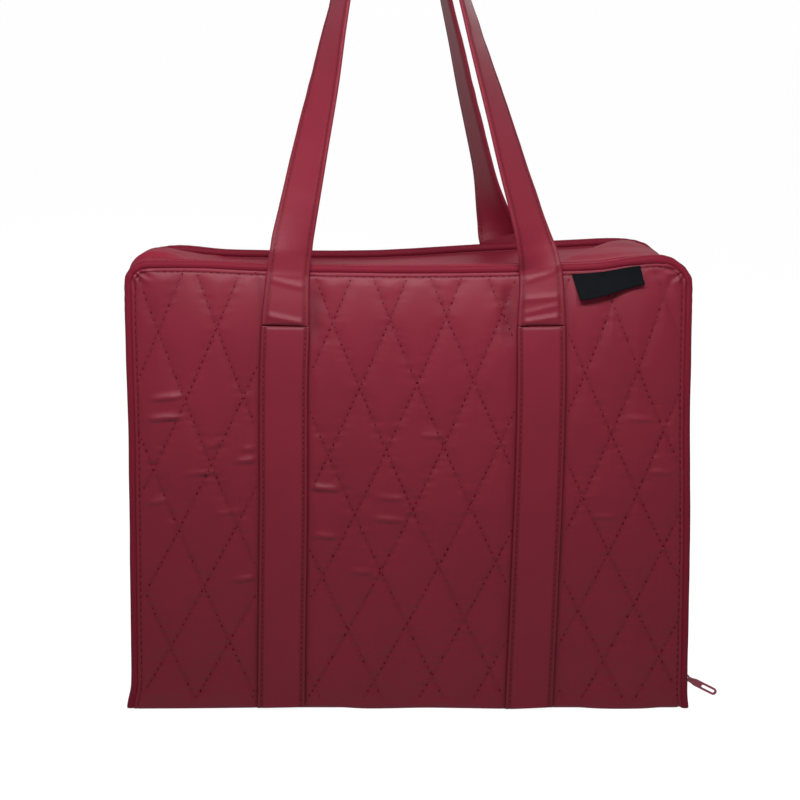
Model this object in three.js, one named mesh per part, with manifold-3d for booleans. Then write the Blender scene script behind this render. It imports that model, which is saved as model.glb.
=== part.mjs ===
// A quilted craft storage bag that stands on its base. A zip runs up one side, over the top and
// down the other, close behind the front panel, so that the front panel folds down as a flap.
// Millimetres. +Z is up, the front faces -Y, and the origin is the middle of the underside.
import * as THREE from "three";
import { mergeVertices } from "three/addons/utils/BufferGeometryUtils.js";
import Module from "manifold-3d";

const wasm = await Module();
wasm.setup();

// The bag's outer size
const BAG_WIDTH = 335; // over the gusset, side to side
const BAG_HEIGHT = 268; // floor to the top of the gusset
const BASE_DEPTH = 130; // front face to back face at the floor
const TOP_DEPTH = 112; // the same at the top, where both panels lean in
const CORNER_RADIUS = 12; // the two top corners

// How thick the sewn layers are, and the gap left between two of them
const LAYER_GAP = 0.3;
const COVER_THICKNESS = 3;
const BOARD_THICKNESS = 1.5;
const LINING_THICKNESS = 1;
const GUSSET_THICKNESS = 3;
const GUSSET_LINING_THICKNESS = 0.8;
const BASE_COVER_THICKNESS = 1.5;
const BASE_BOARD_THICKNESS = 3;
const PIPING_RADIUS = 2.5;

// The flap's fold line, just above the floor
const FOLD_HEIGHT = 3;

// The zip, measured back from the front face
const CHAIN_SETBACK = 24; // to the middle of the teeth
const CHAIN_OPENING = 11; // between the folded fabric edges
const TAPE_WIDTH = 12; // from the teeth outwards, on each side
const TAPE_THICKNESS = 0.7;
const TAPE_BOTTOM = 8; // the tapes' lower ends
const CHAIN_BOTTOM = 19; // the lowest tooth
const TOOTH_PITCH = 5;
const TOOTH_WIDTH = 2; // along the zip
const TOOTH_THICKNESS = 1.8;
const TOOTH_REACH = 1.1; // past the middle line
const TAPE_EDGE = 1.4; // from the middle line to the tape's edge
const TOOTH_ROOT = 1; // how far a tooth grips its tape
const STOP_LENGTH = 3;
const STOP_HEIGHT = 11;
const STOP_WALL = 0.9;

// The slider and its pull
const SLIDER_HEIGHT = 20; // its middle above the floor when the bag is shut
const SLIDER_LENGTH = 11;
const SLIDER_WIDTH = 9.6; // over the two mouths
const SLIDER_HEEL_WIDTH = 7; // where the closed chain leaves
const SLIDER_PLATE = 1.2;
const SLIDER_CLEARANCE = 0.35;
const FLANGE_WIDTH = 1.1;
const DIVIDER_WIDTH = 2;
const DIVIDER_LENGTH = 3.6;
const BAIL_WIDTH = 2.4;
const BAIL_LENGTH = 8.4;
const BAIL_WALL = 1.2;
const BAIL_ROOM = 2.3; // clear height under the bail
const LINK_LENGTH = 8.8; // between the middles of its two bars
const LINK_WIRE = 1.2;
const LINK_WINDOW = 3; // clear width between its rails
const LINK_ANGLE = 55; // degrees below level
const TAB_LENGTH = 21; // from its hole to its tip
const TAB_WIDTH = 4.4;
const TAB_THICKNESS = 1.5;
const TAB_ANGLE = 27; // degrees below level
const TAB_HOLE_RADIUS = 1.15;
const TAB_NECK_WIDTH = 3.2;
const TAB_SLOT_LENGTH = 9;
const TAB_SLOT_WIDTH = 1.8;
const TAB_SLOT_RIM = 1.3; // metal left round the slot's far end

// The strap bands sewn to each panel, and the handle sewn on above them
const STRAP_SPACING = 154; // middle to middle
const BAND_WIDTH = 29;
const BAND_THICKNESS = 2.3;
const HANDLE_SEAM_HEIGHT = 234; // where a handle's ends are sewn down
const HANDLE_WIDTH = 25;
const HANDLE_THICKNESS = 2.5;
const HANDLE_DROP = 206; // from the strap at its highest point down to the top of the bag
const HANDLE_ARCH_RADIUS = 31;
const HANDLE_BEND = 10; // above the bag, where the legs start to lean together
const FRONT_HANDLE_SPREAD = 146; // between the legs' middles at that bend
const BACK_HANDLE_SPREAD = 138;
const FRONT_HANDLE_SHIFT = 2; // how far a handle stands to the right there, seen from its own side
const BACK_HANDLE_SHIFT = 8;
const FRONT_HANDLE_TILT = 0.045; // to the left for each millimetre above the bend
const HANDLE_LEAN = 0.08; // inwards for each millimetre above the bend
const HANDLE_FLAT = 42; // the stretch at each end that lies flat
const FRONT_HANDLE_TWIST = 27; // degrees that a leg turns soon after it leaves the bag
const BACK_HANDLE_TWIST = 70;
const FRONT_TWIST_RUN = 30; // the stretch that this first turn takes
const BACK_TWIST_RUN = 75;
const HANDLE_STEPS = 48;

// The pockets on the two linings, and the folded label in the front seam
const POCKET_WIDTH = 300;
const POCKET_BOTTOM = 14;
const POCKET_HEIGHT = 140;
const BINDING_HEIGHT = 10;
const BINDING_THICKNESS = 0.8;
const LABEL_WIDTH = 43;
const LABEL_DROP = 14;
const LABEL_THICKNESS = 1.1;
const LABEL_MIDDLE = 120; // right of the bag's middle
const LABEL_TILT = 7; // degrees, the outer end higher

const ARC_STEPS = 4; // half the facets of a top corner
const PIPING_SIDES = 8;

// Sizes worked out from the ones above
const LEAN = (BASE_DEPTH - TOP_DEPTH) / 2 / BAG_HEIGHT; // how fast a panel leans in
const LEAN_ANGLE = Math.atan(LEAN);
const INNER_INSET = GUSSET_THICKNESS + LAYER_GAP; // from the bag's side to what lies inside the gusset
const BOARD_FRONT = COVER_THICKNESS + LAYER_GAP;
const LINING_FRONT = BOARD_FRONT + BOARD_THICKNESS + LAYER_GAP;
const POCKET_FRONT = LINING_FRONT + LINING_THICKNESS + LAYER_GAP;
const BINDING_FRONT = POCKET_FRONT + LINING_THICKNESS + LAYER_GAP;
const PIPING_SETBACK = PIPING_RADIUS;
const GUSSET_FRONT = 2 * PIPING_RADIUS + LAYER_GAP;
const HEM_FRONT = CHAIN_SETBACK - CHAIN_OPENING / 2; // the front gusset's folded edge
const HEM_BACK = CHAIN_SETBACK + CHAIN_OPENING / 2; // the main gusset's folded edge
const TAPE_MIDDLE_INSET = INNER_INSET + TAPE_THICKNESS / 2;
const BASE_HEIGHT =
  BASE_COVER_THICKNESS + BASE_BOARD_THICKNESS + LINING_THICKNESS + 2 * LAYER_GAP;
const INSIDE_BOTTOM = BASE_HEIGHT + LAYER_GAP;
const STRAP_FRONT = -LAYER_GAP - HANDLE_THICKNESS; // outer face of a handle's ends

const colours = {
  quilted: { color: 0x7b2a3a, roughness: 0.62 },
  plain: { color: 0x772637, roughness: 0.6 },
  lining: { color: 0x6b2433, roughness: 0.75 },
  board: { color: 0x8f8778, roughness: 0.9 },
  tape: { color: 0x651d2c, roughness: 0.8 },
  enamel: { color: 0x6d1c30, roughness: 0.35, metalness: 0.4 },
  label: { color: 0x14161b, roughness: 0.5 },
};

function mesh(name, geometry, finish) {
  const made = new THREE.Mesh(geometry, new THREE.MeshStandardMaterial({ metalness: 0, ...finish }));
  made.name = name;
  return made;
}

// A closed mesh as a solid for joining and cutting, and back again
function solid(geometry) {
  const bare = geometry.clone();
  bare.deleteAttribute("normal");
  bare.deleteAttribute("uv");
  const merged = mergeVertices(bare, 1e-4);
  return new wasm.Manifold(
    new wasm.Mesh({
      numProp: 3,
      vertProperties: new Float32Array(merged.attributes.position.array),
      triVerts: new Uint32Array(merged.index.array),
    }),
  );
}

function geometryOf(body) {
  const { numProp, vertProperties, triVerts } = body.getMesh();
  const interleaved = new THREE.InterleavedBuffer(vertProperties, numProp);
  return new THREE.BufferGeometry()
    .setAttribute("position", new THREE.InterleavedBufferAttribute(interleaved, 3, 0))
    .setIndex(new THREE.BufferAttribute(triVerts, 1))
    .toNonIndexed();
}

// The bag's outline from the front, moved in by inset: up the right side, over, and down the left
function archPath(inset, bottom) {
  const half = BAG_WIDTH / 2 - inset;
  const top = BAG_HEIGHT - inset;
  const radius = CORNER_RADIUS - inset;
  return new THREE.Path()
    .moveTo(half, bottom)
    .lineTo(half, top - radius)
    .absarc(half - radius, top - radius, radius, 0, Math.PI / 2)
    .lineTo(radius - half, top)
    .absarc(radius - half, top - radius, radius, Math.PI / 2, Math.PI)
    .lineTo(-half, bottom);
}

function archShape(inset, bottom) {
  return new THREE.Shape(archPath(inset, bottom).getPoints(ARC_STEPS));
}

// The band between two outlines, as a gusset or a tape has
function bandShape(inset, thickness, bottom) {
  const outside = archPath(inset, bottom).getPoints(ARC_STEPS);
  const inside = archPath(inset + thickness, bottom).getPoints(ARC_STEPS);
  return new THREE.Shape([...outside, ...inside.reverse()]);
}

function rectangle(x0, x1, z0, z1) {
  return new THREE.Shape([
    new THREE.Vector2(x0, z0),
    new THREE.Vector2(x1, z0),
    new THREE.Vector2(x1, z1),
    new THREE.Vector2(x0, z1),
  ]);
}

// A shape drawn from the front, standing from y = front to y = back
function standing(shape, front, back) {
  return new THREE.ExtrudeGeometry(shape, { depth: back - front, bevelEnabled: false, curveSegments: 8 })
    .rotateX(Math.PI / 2)
    .translate(0, back, 0);
}

// Leans a standing piece back with the panel it belongs to
function leaning(geometry) {
  return geometry.applyMatrix4(new THREE.Matrix4().makeShear(0, 0, 0, 0, 0, LEAN));
}

// A band whose front edge follows the front panel and whose back edge follows the back panel
function bandBetweenPanels(shape, frontSetback, backSetback) {
  const geometry = standing(shape, 0, 1);
  const at = geometry.attributes.position;
  for (let i = 0; i < at.count; i++) {
    const lean = LEAN * at.getZ(i);
    const front = -BASE_DEPTH / 2 + frontSetback + lean;
    const back = BASE_DEPTH / 2 - backSetback - lean;
    at.setY(i, THREE.MathUtils.lerp(front, back, at.getY(i)));
  }
  return geometry;
}

// A closed skin through rings of points that match one to one, with flat ends
function loft(rings) {
  const count = rings[0].length;
  const corners = rings.flat().flatMap((p) => [p.x, p.y, p.z]);
  const index = [];
  for (let r = 0; r + 1 < rings.length; r++)
    for (let k = 0; k < count; k++) {
      const a = r * count + k;
      const b = r * count + ((k + 1) % count);
      index.push(a, b, a + count, b, b + count, a + count);
    }
  const last = (rings.length - 1) * count;
  for (let k = 1; k + 1 < count; k++) {
    index.push(0, k + 1, k);
    index.push(last, last + k, last + k + 1);
  }
  const geometry = new THREE.BufferGeometry();
  geometry.setAttribute("position", new THREE.Float32BufferAttribute(corners, 3));
  geometry.setIndex(index);
  return geometry.toNonIndexed();
}

// Corded piping round a panel's two sides and top
function piping() {
  const middle = archPath(INNER_INSET - LAYER_GAP - PIPING_RADIUS, FOLD_HEIGHT + LAYER_GAP);
  const points = middle.getPoints(ARC_STEPS);
  const rings = points.map((point, i) => {
    const before = points[Math.max(i - 1, 0)];
    const after = points[Math.min(i + 1, points.length - 1)];
    const along = after.clone().sub(before).normalize();
    const outwards = new THREE.Vector2(along.y, -along.x);
    return Array.from({ length: PIPING_SIDES }, (_, k) => {
      const turn = ((k + 0.5) * 2 * Math.PI) / PIPING_SIDES;
      const across = PIPING_RADIUS * Math.cos(turn);
      return new THREE.Vector3(
        point.x + outwards.x * across,
        PIPING_SETBACK + PIPING_RADIUS * Math.sin(turn),
        point.y + outwards.y * across,
      );
    });
  });
  return loft(rings);
}

// The middle line of a handle seen from the front: up from the right-hand seam, over and down
function handlePath(spread, shift) {
  const seam = STRAP_SPACING / 2;
  const half = spread / 2;
  const bottom = HANDLE_SEAM_HEIGHT + LAYER_GAP;
  const bend = BAG_HEIGHT + HANDLE_BEND;
  const centre = BAG_HEIGHT + HANDLE_DROP - HANDLE_ARCH_RADIUS;
  const rise = centre - bend;
  // the straight legs touch the arch, which sets their lean
  const lean = Math.atan2(half, rise) - Math.asin(HANDLE_ARCH_RADIUS / Math.hypot(half, rise));
  const pull = (bend - bottom) / 3;
  const endX = half + pull * Math.sin(lean);
  const endZ = bend - pull * Math.cos(lean);
  const archX = HANDLE_ARCH_RADIUS * Math.cos(lean);
  const archZ = centre + HANDLE_ARCH_RADIUS * Math.sin(lean);
  return new THREE.Path()
    .moveTo(seam, bottom)
    .bezierCurveTo(seam, bottom + pull, shift + endX, endZ, shift + half, bend)
    .lineTo(shift + archX, archZ)
    .absarc(shift, centre, HANDLE_ARCH_RADIUS, lean, Math.PI - lean)
    .lineTo(shift - half, bend)
    .bezierCurveTo(shift - endX, endZ, -seam, bottom + pull, -seam, bottom);
}

// How far a leg has turned edgewise, in degrees: a quick first turn, then evenly up to the top
function handleTurn(form, fromEnd, halfLength) {
  const free = Math.max(0, fromEnd - HANDLE_FLAT);
  const first = 1 - (1 - Math.min(free / form.twistRun, 1)) ** 2;
  return form.twist * first + ((90 - form.twist) * free) / (halfLength - HANDLE_FLAT);
}

// One carrying handle. Its two ends lie on the panel, and each leg turns edgewise on its way up,
// so that the strap's outer face ends up on top of the arch
function handle(form) {
  const path = handlePath(form.spread, form.shift);
  const length = path.getLength();
  const bend = BAG_HEIGHT + HANDLE_BEND;
  const depthAt = (z) =>
    STRAP_FRONT + HANDLE_THICKNESS / 2 + LEAN * z + HANDLE_LEAN * Math.max(0, z - bend);
  const rings = [];
  for (let i = 0; i <= HANDLE_STEPS; i++) {
    const share = i / HANDLE_STEPS;
    const at = path.getPointAt(share);
    const way = path.getTangentAt(share);
    const rise = (depthAt(at.y + 1) - depthAt(at.y)) * way.y;
    const along = new THREE.Vector3(way.x, rise, way.y).normalize();
    const fromEnd = length * Math.min(share, 1 - share);
    const turn = THREE.MathUtils.degToRad(handleTurn(form, fromEnd, length / 2));
    const face = new THREE.Vector3(way.y * Math.sin(turn), -Math.cos(turn), -way.x * Math.sin(turn));
    face.addScaledVector(along, -face.dot(along)).normalize();
    const across = new THREE.Vector3().crossVectors(face, along);
    rings.push(
      [[-1, -1], [1, -1], [1, 1], [-1, 1]].map(([side, layer]) =>
        new THREE.Vector3(at.x - form.tilt * Math.max(0, at.y - bend), depthAt(at.y), at.y)
          .addScaledVector(across, (side * HANDLE_WIDTH) / 2)
          .addScaledVector(face, (layer * HANDLE_THICKNESS) / 2),
      ),
    );
  }
  return loft(rings);
}

// What the front flap and the back panel have alike, in the panel's own frame: the outer face
// is at y = 0 at the floor, and +Y goes into the bag
function panelPieces(name, handleForm) {
  const inside = INNER_INSET;
  const bottom = INSIDE_BOTTOM + LAYER_GAP;
  const half = POCKET_WIDTH / 2;
  const pocketTop = POCKET_BOTTOM + POCKET_HEIGHT;
  const bandTop = HANDLE_SEAM_HEIGHT - 2 * LAYER_GAP;
  const cover = leaning(standing(archShape(inside, LAYER_GAP), 0, COVER_THICKNESS));
  const board = leaning(standing(archShape(inside, bottom), BOARD_FRONT, BOARD_FRONT + BOARD_THICKNESS));
  const lining = leaning(standing(archShape(inside, bottom), LINING_FRONT, LINING_FRONT + LINING_THICKNESS));
  const pocket = leaning(
    standing(rectangle(-half, half, POCKET_BOTTOM, pocketTop), POCKET_FRONT, POCKET_FRONT + LINING_THICKNESS),
  );
  const binding = leaning(
    standing(
      rectangle(-half, half, pocketTop - BINDING_HEIGHT, pocketTop + LAYER_GAP),
      BINDING_FRONT,
      BINDING_FRONT + BINDING_THICKNESS,
    ),
  );
  const pieces = [
    mesh(`${name}_cover`, cover, colours.quilted),
    mesh(`${name}_board`, board, colours.board),
    mesh(`${name}_lining`, lining, colours.lining),
    mesh(`${name}_piping`, leaning(piping()), colours.plain),
    mesh(`${name}_pocket`, pocket, colours.lining),
    mesh(`${name}_pocket_binding`, binding, colours.plain),
    mesh(`${name}_handle_strap`, handle(handleForm), colours.plain),
  ];
  for (const side of [-1, 1]) {
    const middle = (side * STRAP_SPACING) / 2;
    const outline = rectangle(middle - BAND_WIDTH / 2, middle + BAND_WIDTH / 2, FOLD_HEIGHT + LAYER_GAP, bandTop);
    const band = leaning(standing(outline, -LAYER_GAP - BAND_THICKNESS, -LAYER_GAP));
    const sideName = (name === "front") === side > 0 ? "right" : "left";
    pieces.push(mesh(`${name}_strap_band_${sideName}`, band, colours.plain));
  }
  return pieces;
}

// One zip tape with its teeth. Its edge is on the near side (-1) or the far side (1) of the middle line
function zipTape(side) {
  const edge = CHAIN_SETBACK + side * TAPE_EDGE;
  const hem = CHAIN_SETBACK + side * (TAPE_EDGE + TAPE_WIDTH);
  const tape = standing(
    bandShape(INNER_INSET, TAPE_THICKNESS, TAPE_BOTTOM),
    Math.min(edge, hem),
    Math.max(edge, hem),
  );
  const line = archPath(TAPE_MIDDLE_INSET, CHAIN_BOTTOM);
  const length = line.getLength();
  const tip = CHAIN_SETBACK - side * TOOTH_REACH;
  const root = edge + side * TOOTH_ROOT;
  const parts = [solid(tape)];
  const first = side < 0 ? 0 : TOOTH_PITCH / 2;
  for (let along = first; along <= length; along += TOOTH_PITCH) {
    const at = line.getPointAt(along / length);
    const way = line.getTangentAt(along / length);
    const tooth = new THREE.BoxGeometry(TOOTH_WIDTH, Math.abs(tip - root), TOOTH_THICKNESS)
      .rotateY(-Math.atan2(way.y, way.x))
      .translate(at.x, (tip + root) / 2, at.y);
    parts.push(solid(tooth));
  }
  return leaning(geometryOf(wasm.Manifold.union(parts)));
}

// A metal stop that holds both tapes together at an end of the zip, with a slot for each tape
function zipStop(side) {
  const reach = TAPE_EDGE + 2;
  const block = new THREE.BoxGeometry(TAPE_THICKNESS + 2 * (LAYER_GAP + STOP_WALL), 2 * reach, STOP_LENGTH);
  let stop = solid(block);
  for (const way of [-1, 1]) {
    const slot = new THREE.BoxGeometry(TAPE_THICKNESS + 2 * LAYER_GAP, reach, 2 * STOP_LENGTH).translate(
      0,
      way * (TAPE_EDGE - LAYER_GAP + reach / 2),
      0,
    );
    stop = stop.subtract(solid(slot));
  }
  const geometry = geometryOf(stop);
  const x = side * (BAG_WIDTH / 2 - TAPE_MIDDLE_INSET);
  return geometry.translate(x, CHAIN_SETBACK + LEAN * STOP_HEIGHT, STOP_HEIGHT);
}

// The slider in its own frame: X points out of the bag, Z along the zip, and the chain is at the origin
function slider() {
  const inner = TOOTH_THICKNESS / 2 + SLIDER_CLEARANCE;
  const outer = inner + SLIDER_PLATE;
  const end = SLIDER_LENGTH / 2;
  const mouth = SLIDER_WIDTH / 2;
  const heel = SLIDER_HEEL_WIDTH / 2;
  const outline = new THREE.Shape()
    .moveTo(-mouth, -end)
    .lineTo(mouth, -end)
    .quadraticCurveTo(mouth, 0, heel, end * 0.55)
    .lineTo(heel - 1, end)
    .lineTo(1 - heel, end)
    .lineTo(-heel, end * 0.55)
    .quadraticCurveTo(-mouth, 0, -mouth, -end);
  // drawn in Y and Z, and raised along X
  const raised = (shape, from, to) =>
    new THREE.ExtrudeGeometry(shape, { depth: to - from, bevelEnabled: false, curveSegments: 5 })
      .rotateX(Math.PI / 2)
      .rotateZ(Math.PI / 2)
      .translate(from, 0, 0);
  const tapeHalf = TAPE_THICKNESS / 2 + LAYER_GAP;
  let body = solid(raised(outline, -outer, outer));
  const channel = new THREE.Shape(
    outline.getPoints(5).map((p) => new THREE.Vector2(p.x * (1 - FLANGE_WIDTH / mouth), p.y * 1.5)),
  );
  body = body.subtract(solid(raised(channel, -inner, inner)));
  const tapeRoom = new THREE.BoxGeometry(2 * tapeHalf, 2 * SLIDER_WIDTH, 2 * SLIDER_LENGTH);
  body = body.subtract(solid(tapeRoom));
  const divider = new THREE.Shape()
    .moveTo(-DIVIDER_WIDTH / 2, -end)
    .lineTo(DIVIDER_WIDTH / 2, -end)
    .lineTo(0, DIVIDER_LENGTH - end);
  body = body.add(solid(raised(divider, -outer + SLIDER_PLATE / 2, outer - SLIDER_PLATE / 2)));
  const bailHalf = BAIL_LENGTH / 2;
  const window = bailHalf - BAIL_WALL;
  const bail = new THREE.Shape()
    .moveTo(outer - SLIDER_PLATE / 2, -bailHalf)
    .lineTo(outer + BAIL_ROOM, -bailHalf)
    .lineTo(outer + BAIL_ROOM + BAIL_WALL, -bailHalf + BAIL_WALL)
    .lineTo(outer + BAIL_ROOM + BAIL_WALL, bailHalf - BAIL_WALL)
    .lineTo(outer + BAIL_ROOM, bailHalf)
    .lineTo(outer - SLIDER_PLATE / 2, bailHalf)
    .lineTo(outer - SLIDER_PLATE / 2, window)
    .lineTo(outer + BAIL_ROOM, window)
    .lineTo(outer + BAIL_ROOM, -window)
    .lineTo(outer - SLIDER_PLATE / 2, -window);
  return geometryOf(body.add(solid(standing(bail, -BAIL_WIDTH / 2, BAIL_WIDTH / 2))));
}

const BAIL_MIDDLE = TOOTH_THICKNESS / 2 + SLIDER_CLEARANCE + SLIDER_PLATE + BAIL_ROOM / 2;

// The wire link, lying along +X from the bar under the bail to the bar that holds the tab
function pullLink() {
  const half = LINK_WINDOW / 2 + LINK_WIRE;
  const shape = new THREE.Shape()
    .moveTo(-LINK_WIRE / 2, -half)
    .lineTo(LINK_LENGTH + LINK_WIRE / 2, -half)
    .lineTo(LINK_LENGTH + LINK_WIRE / 2, half)
    .lineTo(-LINK_WIRE / 2, half);
  const hole = new THREE.Path()
    .moveTo(LINK_WIRE / 2, -LINK_WINDOW / 2)
    .lineTo(LINK_WIRE / 2, LINK_WINDOW / 2)
    .lineTo(LINK_LENGTH - LINK_WIRE / 2, LINK_WINDOW / 2)
    .lineTo(LINK_LENGTH - LINK_WIRE / 2, -LINK_WINDOW / 2);
  shape.holes.push(hole);
  return new THREE.ExtrudeGeometry(shape, { depth: LINK_WIRE, bevelEnabled: false }).translate(
    0,
    0,
    -LINK_WIRE / 2,
  );
}

// The flat tab, lying along +X from the hole that the link passes through, with a slot near its tip
function pullTab() {
  const half = TAB_WIDTH / 2;
  const neck = TAB_NECK_WIDTH / 2;
  const shape = new THREE.Shape()
    .absarc(0, 0, half, Math.PI / 4, (7 * Math.PI) / 4)
    .lineTo(half + 1.4, -neck)
    .lineTo(half + 4, -half)
    .lineTo(TAB_LENGTH - half, -half)
    .absarc(TAB_LENGTH - half, 0, half, -Math.PI / 2, Math.PI / 2)
    .lineTo(half + 4, half)
    .lineTo(half + 1.4, neck);
  const slotHalf = TAB_SLOT_WIDTH / 2;
  const slotEnd = TAB_LENGTH - TAB_SLOT_RIM - slotHalf;
  const slotStart = slotEnd - TAB_SLOT_LENGTH + TAB_SLOT_WIDTH;
  shape.holes.push(
    new THREE.Path().absarc(0, 0, TAB_HOLE_RADIUS, 0, 2 * Math.PI, true),
    new THREE.Path()
      .absarc(slotEnd, 0, slotHalf, Math.PI / 2, -Math.PI / 2, true)
      .absarc(slotStart, 0, slotHalf, -Math.PI / 2, (-3 * Math.PI) / 2, true),
  );
  return standing(shape, -TAB_THICKNESS / 2, TAB_THICKNESS / 2);
}

// The base: three flat layers held inside the gusset, short of the flap's swing
function basePieces() {
  const half = BAG_WIDTH / 2 - INNER_INSET;
  const swing = Math.hypot(COVER_THICKNESS, FOLD_HEIGHT - LAYER_GAP);
  const front = -BASE_DEPTH / 2 + swing + LAYER_GAP + LEAN * BASE_HEIGHT;
  const back = BASE_DEPTH / 2 - BOARD_FRONT - LEAN * BASE_HEIGHT;
  const layers = [
    ["base_cover", BASE_COVER_THICKNESS, colours.plain],
    ["base_board", BASE_BOARD_THICKNESS, colours.board],
    ["base_lining", LINING_THICKNESS, colours.lining],
  ];
  let bottom = 0;
  return layers.map(([name, thickness, finish]) => {
    const layer = new THREE.BoxGeometry(2 * half, back - front, thickness).translate(
      0,
      (front + back) / 2,
      bottom + thickness / 2,
    );
    bottom += thickness + LAYER_GAP;
    return mesh(name, layer, finish);
  });
}

const bag = new THREE.Group();
const frontPanel = new THREE.Group();
frontPanel.position.y = -BASE_DEPTH / 2;
const backPanel = new THREE.Group();
backPanel.position.y = BASE_DEPTH / 2;
backPanel.rotation.z = Math.PI;
bag.add(frontPanel, backPanel);

bag.add(...basePieces());
const frontHandle = {
  spread: FRONT_HANDLE_SPREAD,
  shift: FRONT_HANDLE_SHIFT,
  tilt: FRONT_HANDLE_TILT,
  twist: FRONT_HANDLE_TWIST,
  twistRun: FRONT_TWIST_RUN,
};
const backHandle = {
  spread: BACK_HANDLE_SPREAD,
  shift: BACK_HANDLE_SHIFT,
  tilt: 0,
  twist: BACK_HANDLE_TWIST,
  twistRun: BACK_TWIST_RUN,
};
frontPanel.add(...panelPieces("front", frontHandle));
backPanel.add(...panelPieces("back", backHandle));

const frontGussetBottom = FOLD_HEIGHT + LAYER_GAP;
const frontGusset = standing(bandShape(0, GUSSET_THICKNESS, frontGussetBottom), GUSSET_FRONT, HEM_FRONT);
frontPanel.add(mesh("front_gusset", leaning(frontGusset), colours.plain));
const mainGusset = bandBetweenPanels(bandShape(0, GUSSET_THICKNESS, 0), HEM_BACK, GUSSET_FRONT);
const liningBottom = INSIDE_BOTTOM;
const gussetLining = bandBetweenPanels(
  bandShape(INNER_INSET, GUSSET_LINING_THICKNESS, liningBottom),
  CHAIN_SETBACK + TAPE_EDGE + TAPE_WIDTH + LAYER_GAP,
  POCKET_FRONT,
);
bag.add(
  mesh("main_gusset", mainGusset, colours.plain),
  mesh("main_gusset_lining", gussetLining, colours.lining),
);

frontPanel.add(
  mesh("front_zip_tape", zipTape(-1), colours.tape),
  mesh("rear_zip_tape", zipTape(1), colours.tape),
  mesh("zip_end_stop_left", zipStop(-1), colours.enamel),
  mesh("zip_end_stop_right", zipStop(1), colours.enamel),
);

// The slider stands on the zip's right-hand run, leaning with it
const sliderPlace = new THREE.Group();
sliderPlace.position.set(
  BAG_WIDTH / 2 - TAPE_MIDDLE_INSET,
  CHAIN_SETBACK + LEAN * SLIDER_HEIGHT,
  SLIDER_HEIGHT,
);
sliderPlace.rotation.x = -LEAN_ANGLE;
frontPanel.add(sliderPlace);
sliderPlace.add(mesh("zip_slider", slider(), colours.enamel));

const linkPlace = new THREE.Group();
linkPlace.position.x = BAIL_MIDDLE;
linkPlace.rotation.y = THREE.MathUtils.degToRad(LINK_ANGLE);
sliderPlace.add(linkPlace);
linkPlace.add(mesh("zip_pull_link", pullLink(), colours.enamel));

const tabPlace = new THREE.Group();
tabPlace.position.x = LINK_LENGTH;
tabPlace.rotation.y = THREE.MathUtils.degToRad(TAB_ANGLE - LINK_ANGLE);
linkPlace.add(tabPlace);
tabPlace.add(mesh("zip_pull_tab", pullTab(), colours.enamel));

// The folded label hangs from the front panel's top seam
const labelTop = BAG_HEIGHT - INNER_INSET - 2;
const label = standing(
  rectangle(-LABEL_WIDTH / 2, LABEL_WIDTH / 2, -LABEL_DROP, 0),
  -LAYER_GAP - LABEL_THICKNESS,
  -LAYER_GAP,
);
label.rotateY(-THREE.MathUtils.degToRad(LABEL_TILT));
label.translate(LABEL_MIDDLE, 0, labelTop - (LABEL_WIDTH / 2) * Math.sin(THREE.MathUtils.degToRad(LABEL_TILT)));
frontPanel.add(mesh("loop_label", leaning(label), colours.label));

export default bag;
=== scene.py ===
import math
import random

import bmesh
import bpy
from mathutils import Matrix, Vector, noise


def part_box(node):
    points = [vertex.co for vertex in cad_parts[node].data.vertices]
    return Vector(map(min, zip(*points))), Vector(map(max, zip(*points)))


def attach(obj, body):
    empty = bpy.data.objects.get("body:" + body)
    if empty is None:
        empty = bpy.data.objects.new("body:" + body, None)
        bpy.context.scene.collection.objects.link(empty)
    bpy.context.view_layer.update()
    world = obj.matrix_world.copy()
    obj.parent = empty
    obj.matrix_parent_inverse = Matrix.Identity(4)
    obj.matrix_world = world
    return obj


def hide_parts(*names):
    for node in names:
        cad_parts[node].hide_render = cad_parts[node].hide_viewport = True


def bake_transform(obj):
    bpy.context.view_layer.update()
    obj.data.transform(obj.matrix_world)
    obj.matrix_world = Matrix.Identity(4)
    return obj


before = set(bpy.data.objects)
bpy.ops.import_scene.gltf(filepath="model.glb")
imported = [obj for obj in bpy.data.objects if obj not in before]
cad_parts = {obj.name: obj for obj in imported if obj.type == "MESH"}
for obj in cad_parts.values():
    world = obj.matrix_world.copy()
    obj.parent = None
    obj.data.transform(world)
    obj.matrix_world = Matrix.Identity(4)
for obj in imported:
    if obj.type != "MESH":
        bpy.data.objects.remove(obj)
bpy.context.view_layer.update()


# The camera. The photograph looks squarely at the bag's front from 1.2 metres away, a little above
# its top. It stands a little to the left of the bag, and the picture is framed back to the right.
camera_lens = bpy.data.cameras.new("studio_camera")
camera_lens.lens = 90.99
camera_lens.sensor_width = 36
camera_lens.clip_start = 0.01
camera_lens.shift_x = 0.0812
camera = bpy.data.objects.new("studio_camera", camera_lens)
camera.location = (-0.0444, -1.2505, 0.3676)
camera.rotation_euler = (math.radians(81.477), 0, 0)
bpy.context.scene.collection.objects.link(camera)
bpy.context.scene.camera = camera
bpy.context.scene.view_settings.view_transform = "Standard"


# The studio: a wide pale floor that rises into a pale wall behind the bag. A wide soft box hangs close
# above the front, so the light falls off quickly towards the floor, and weak boxes fill the rest.
def new_finish(name, sockets):
    """A material with these values on its shader's own sockets."""
    finish = bpy.data.materials.new(name)
    finish.use_nodes = True
    for socket, value in sockets.items():
        finish.node_tree.nodes["Principled BSDF"].inputs[socket].default_value = value
    return finish


def shape_to_mesh(name, shape):
    mesh = bpy.data.meshes.new(name)
    shape.to_mesh(mesh)
    shape.free()
    return mesh


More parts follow.
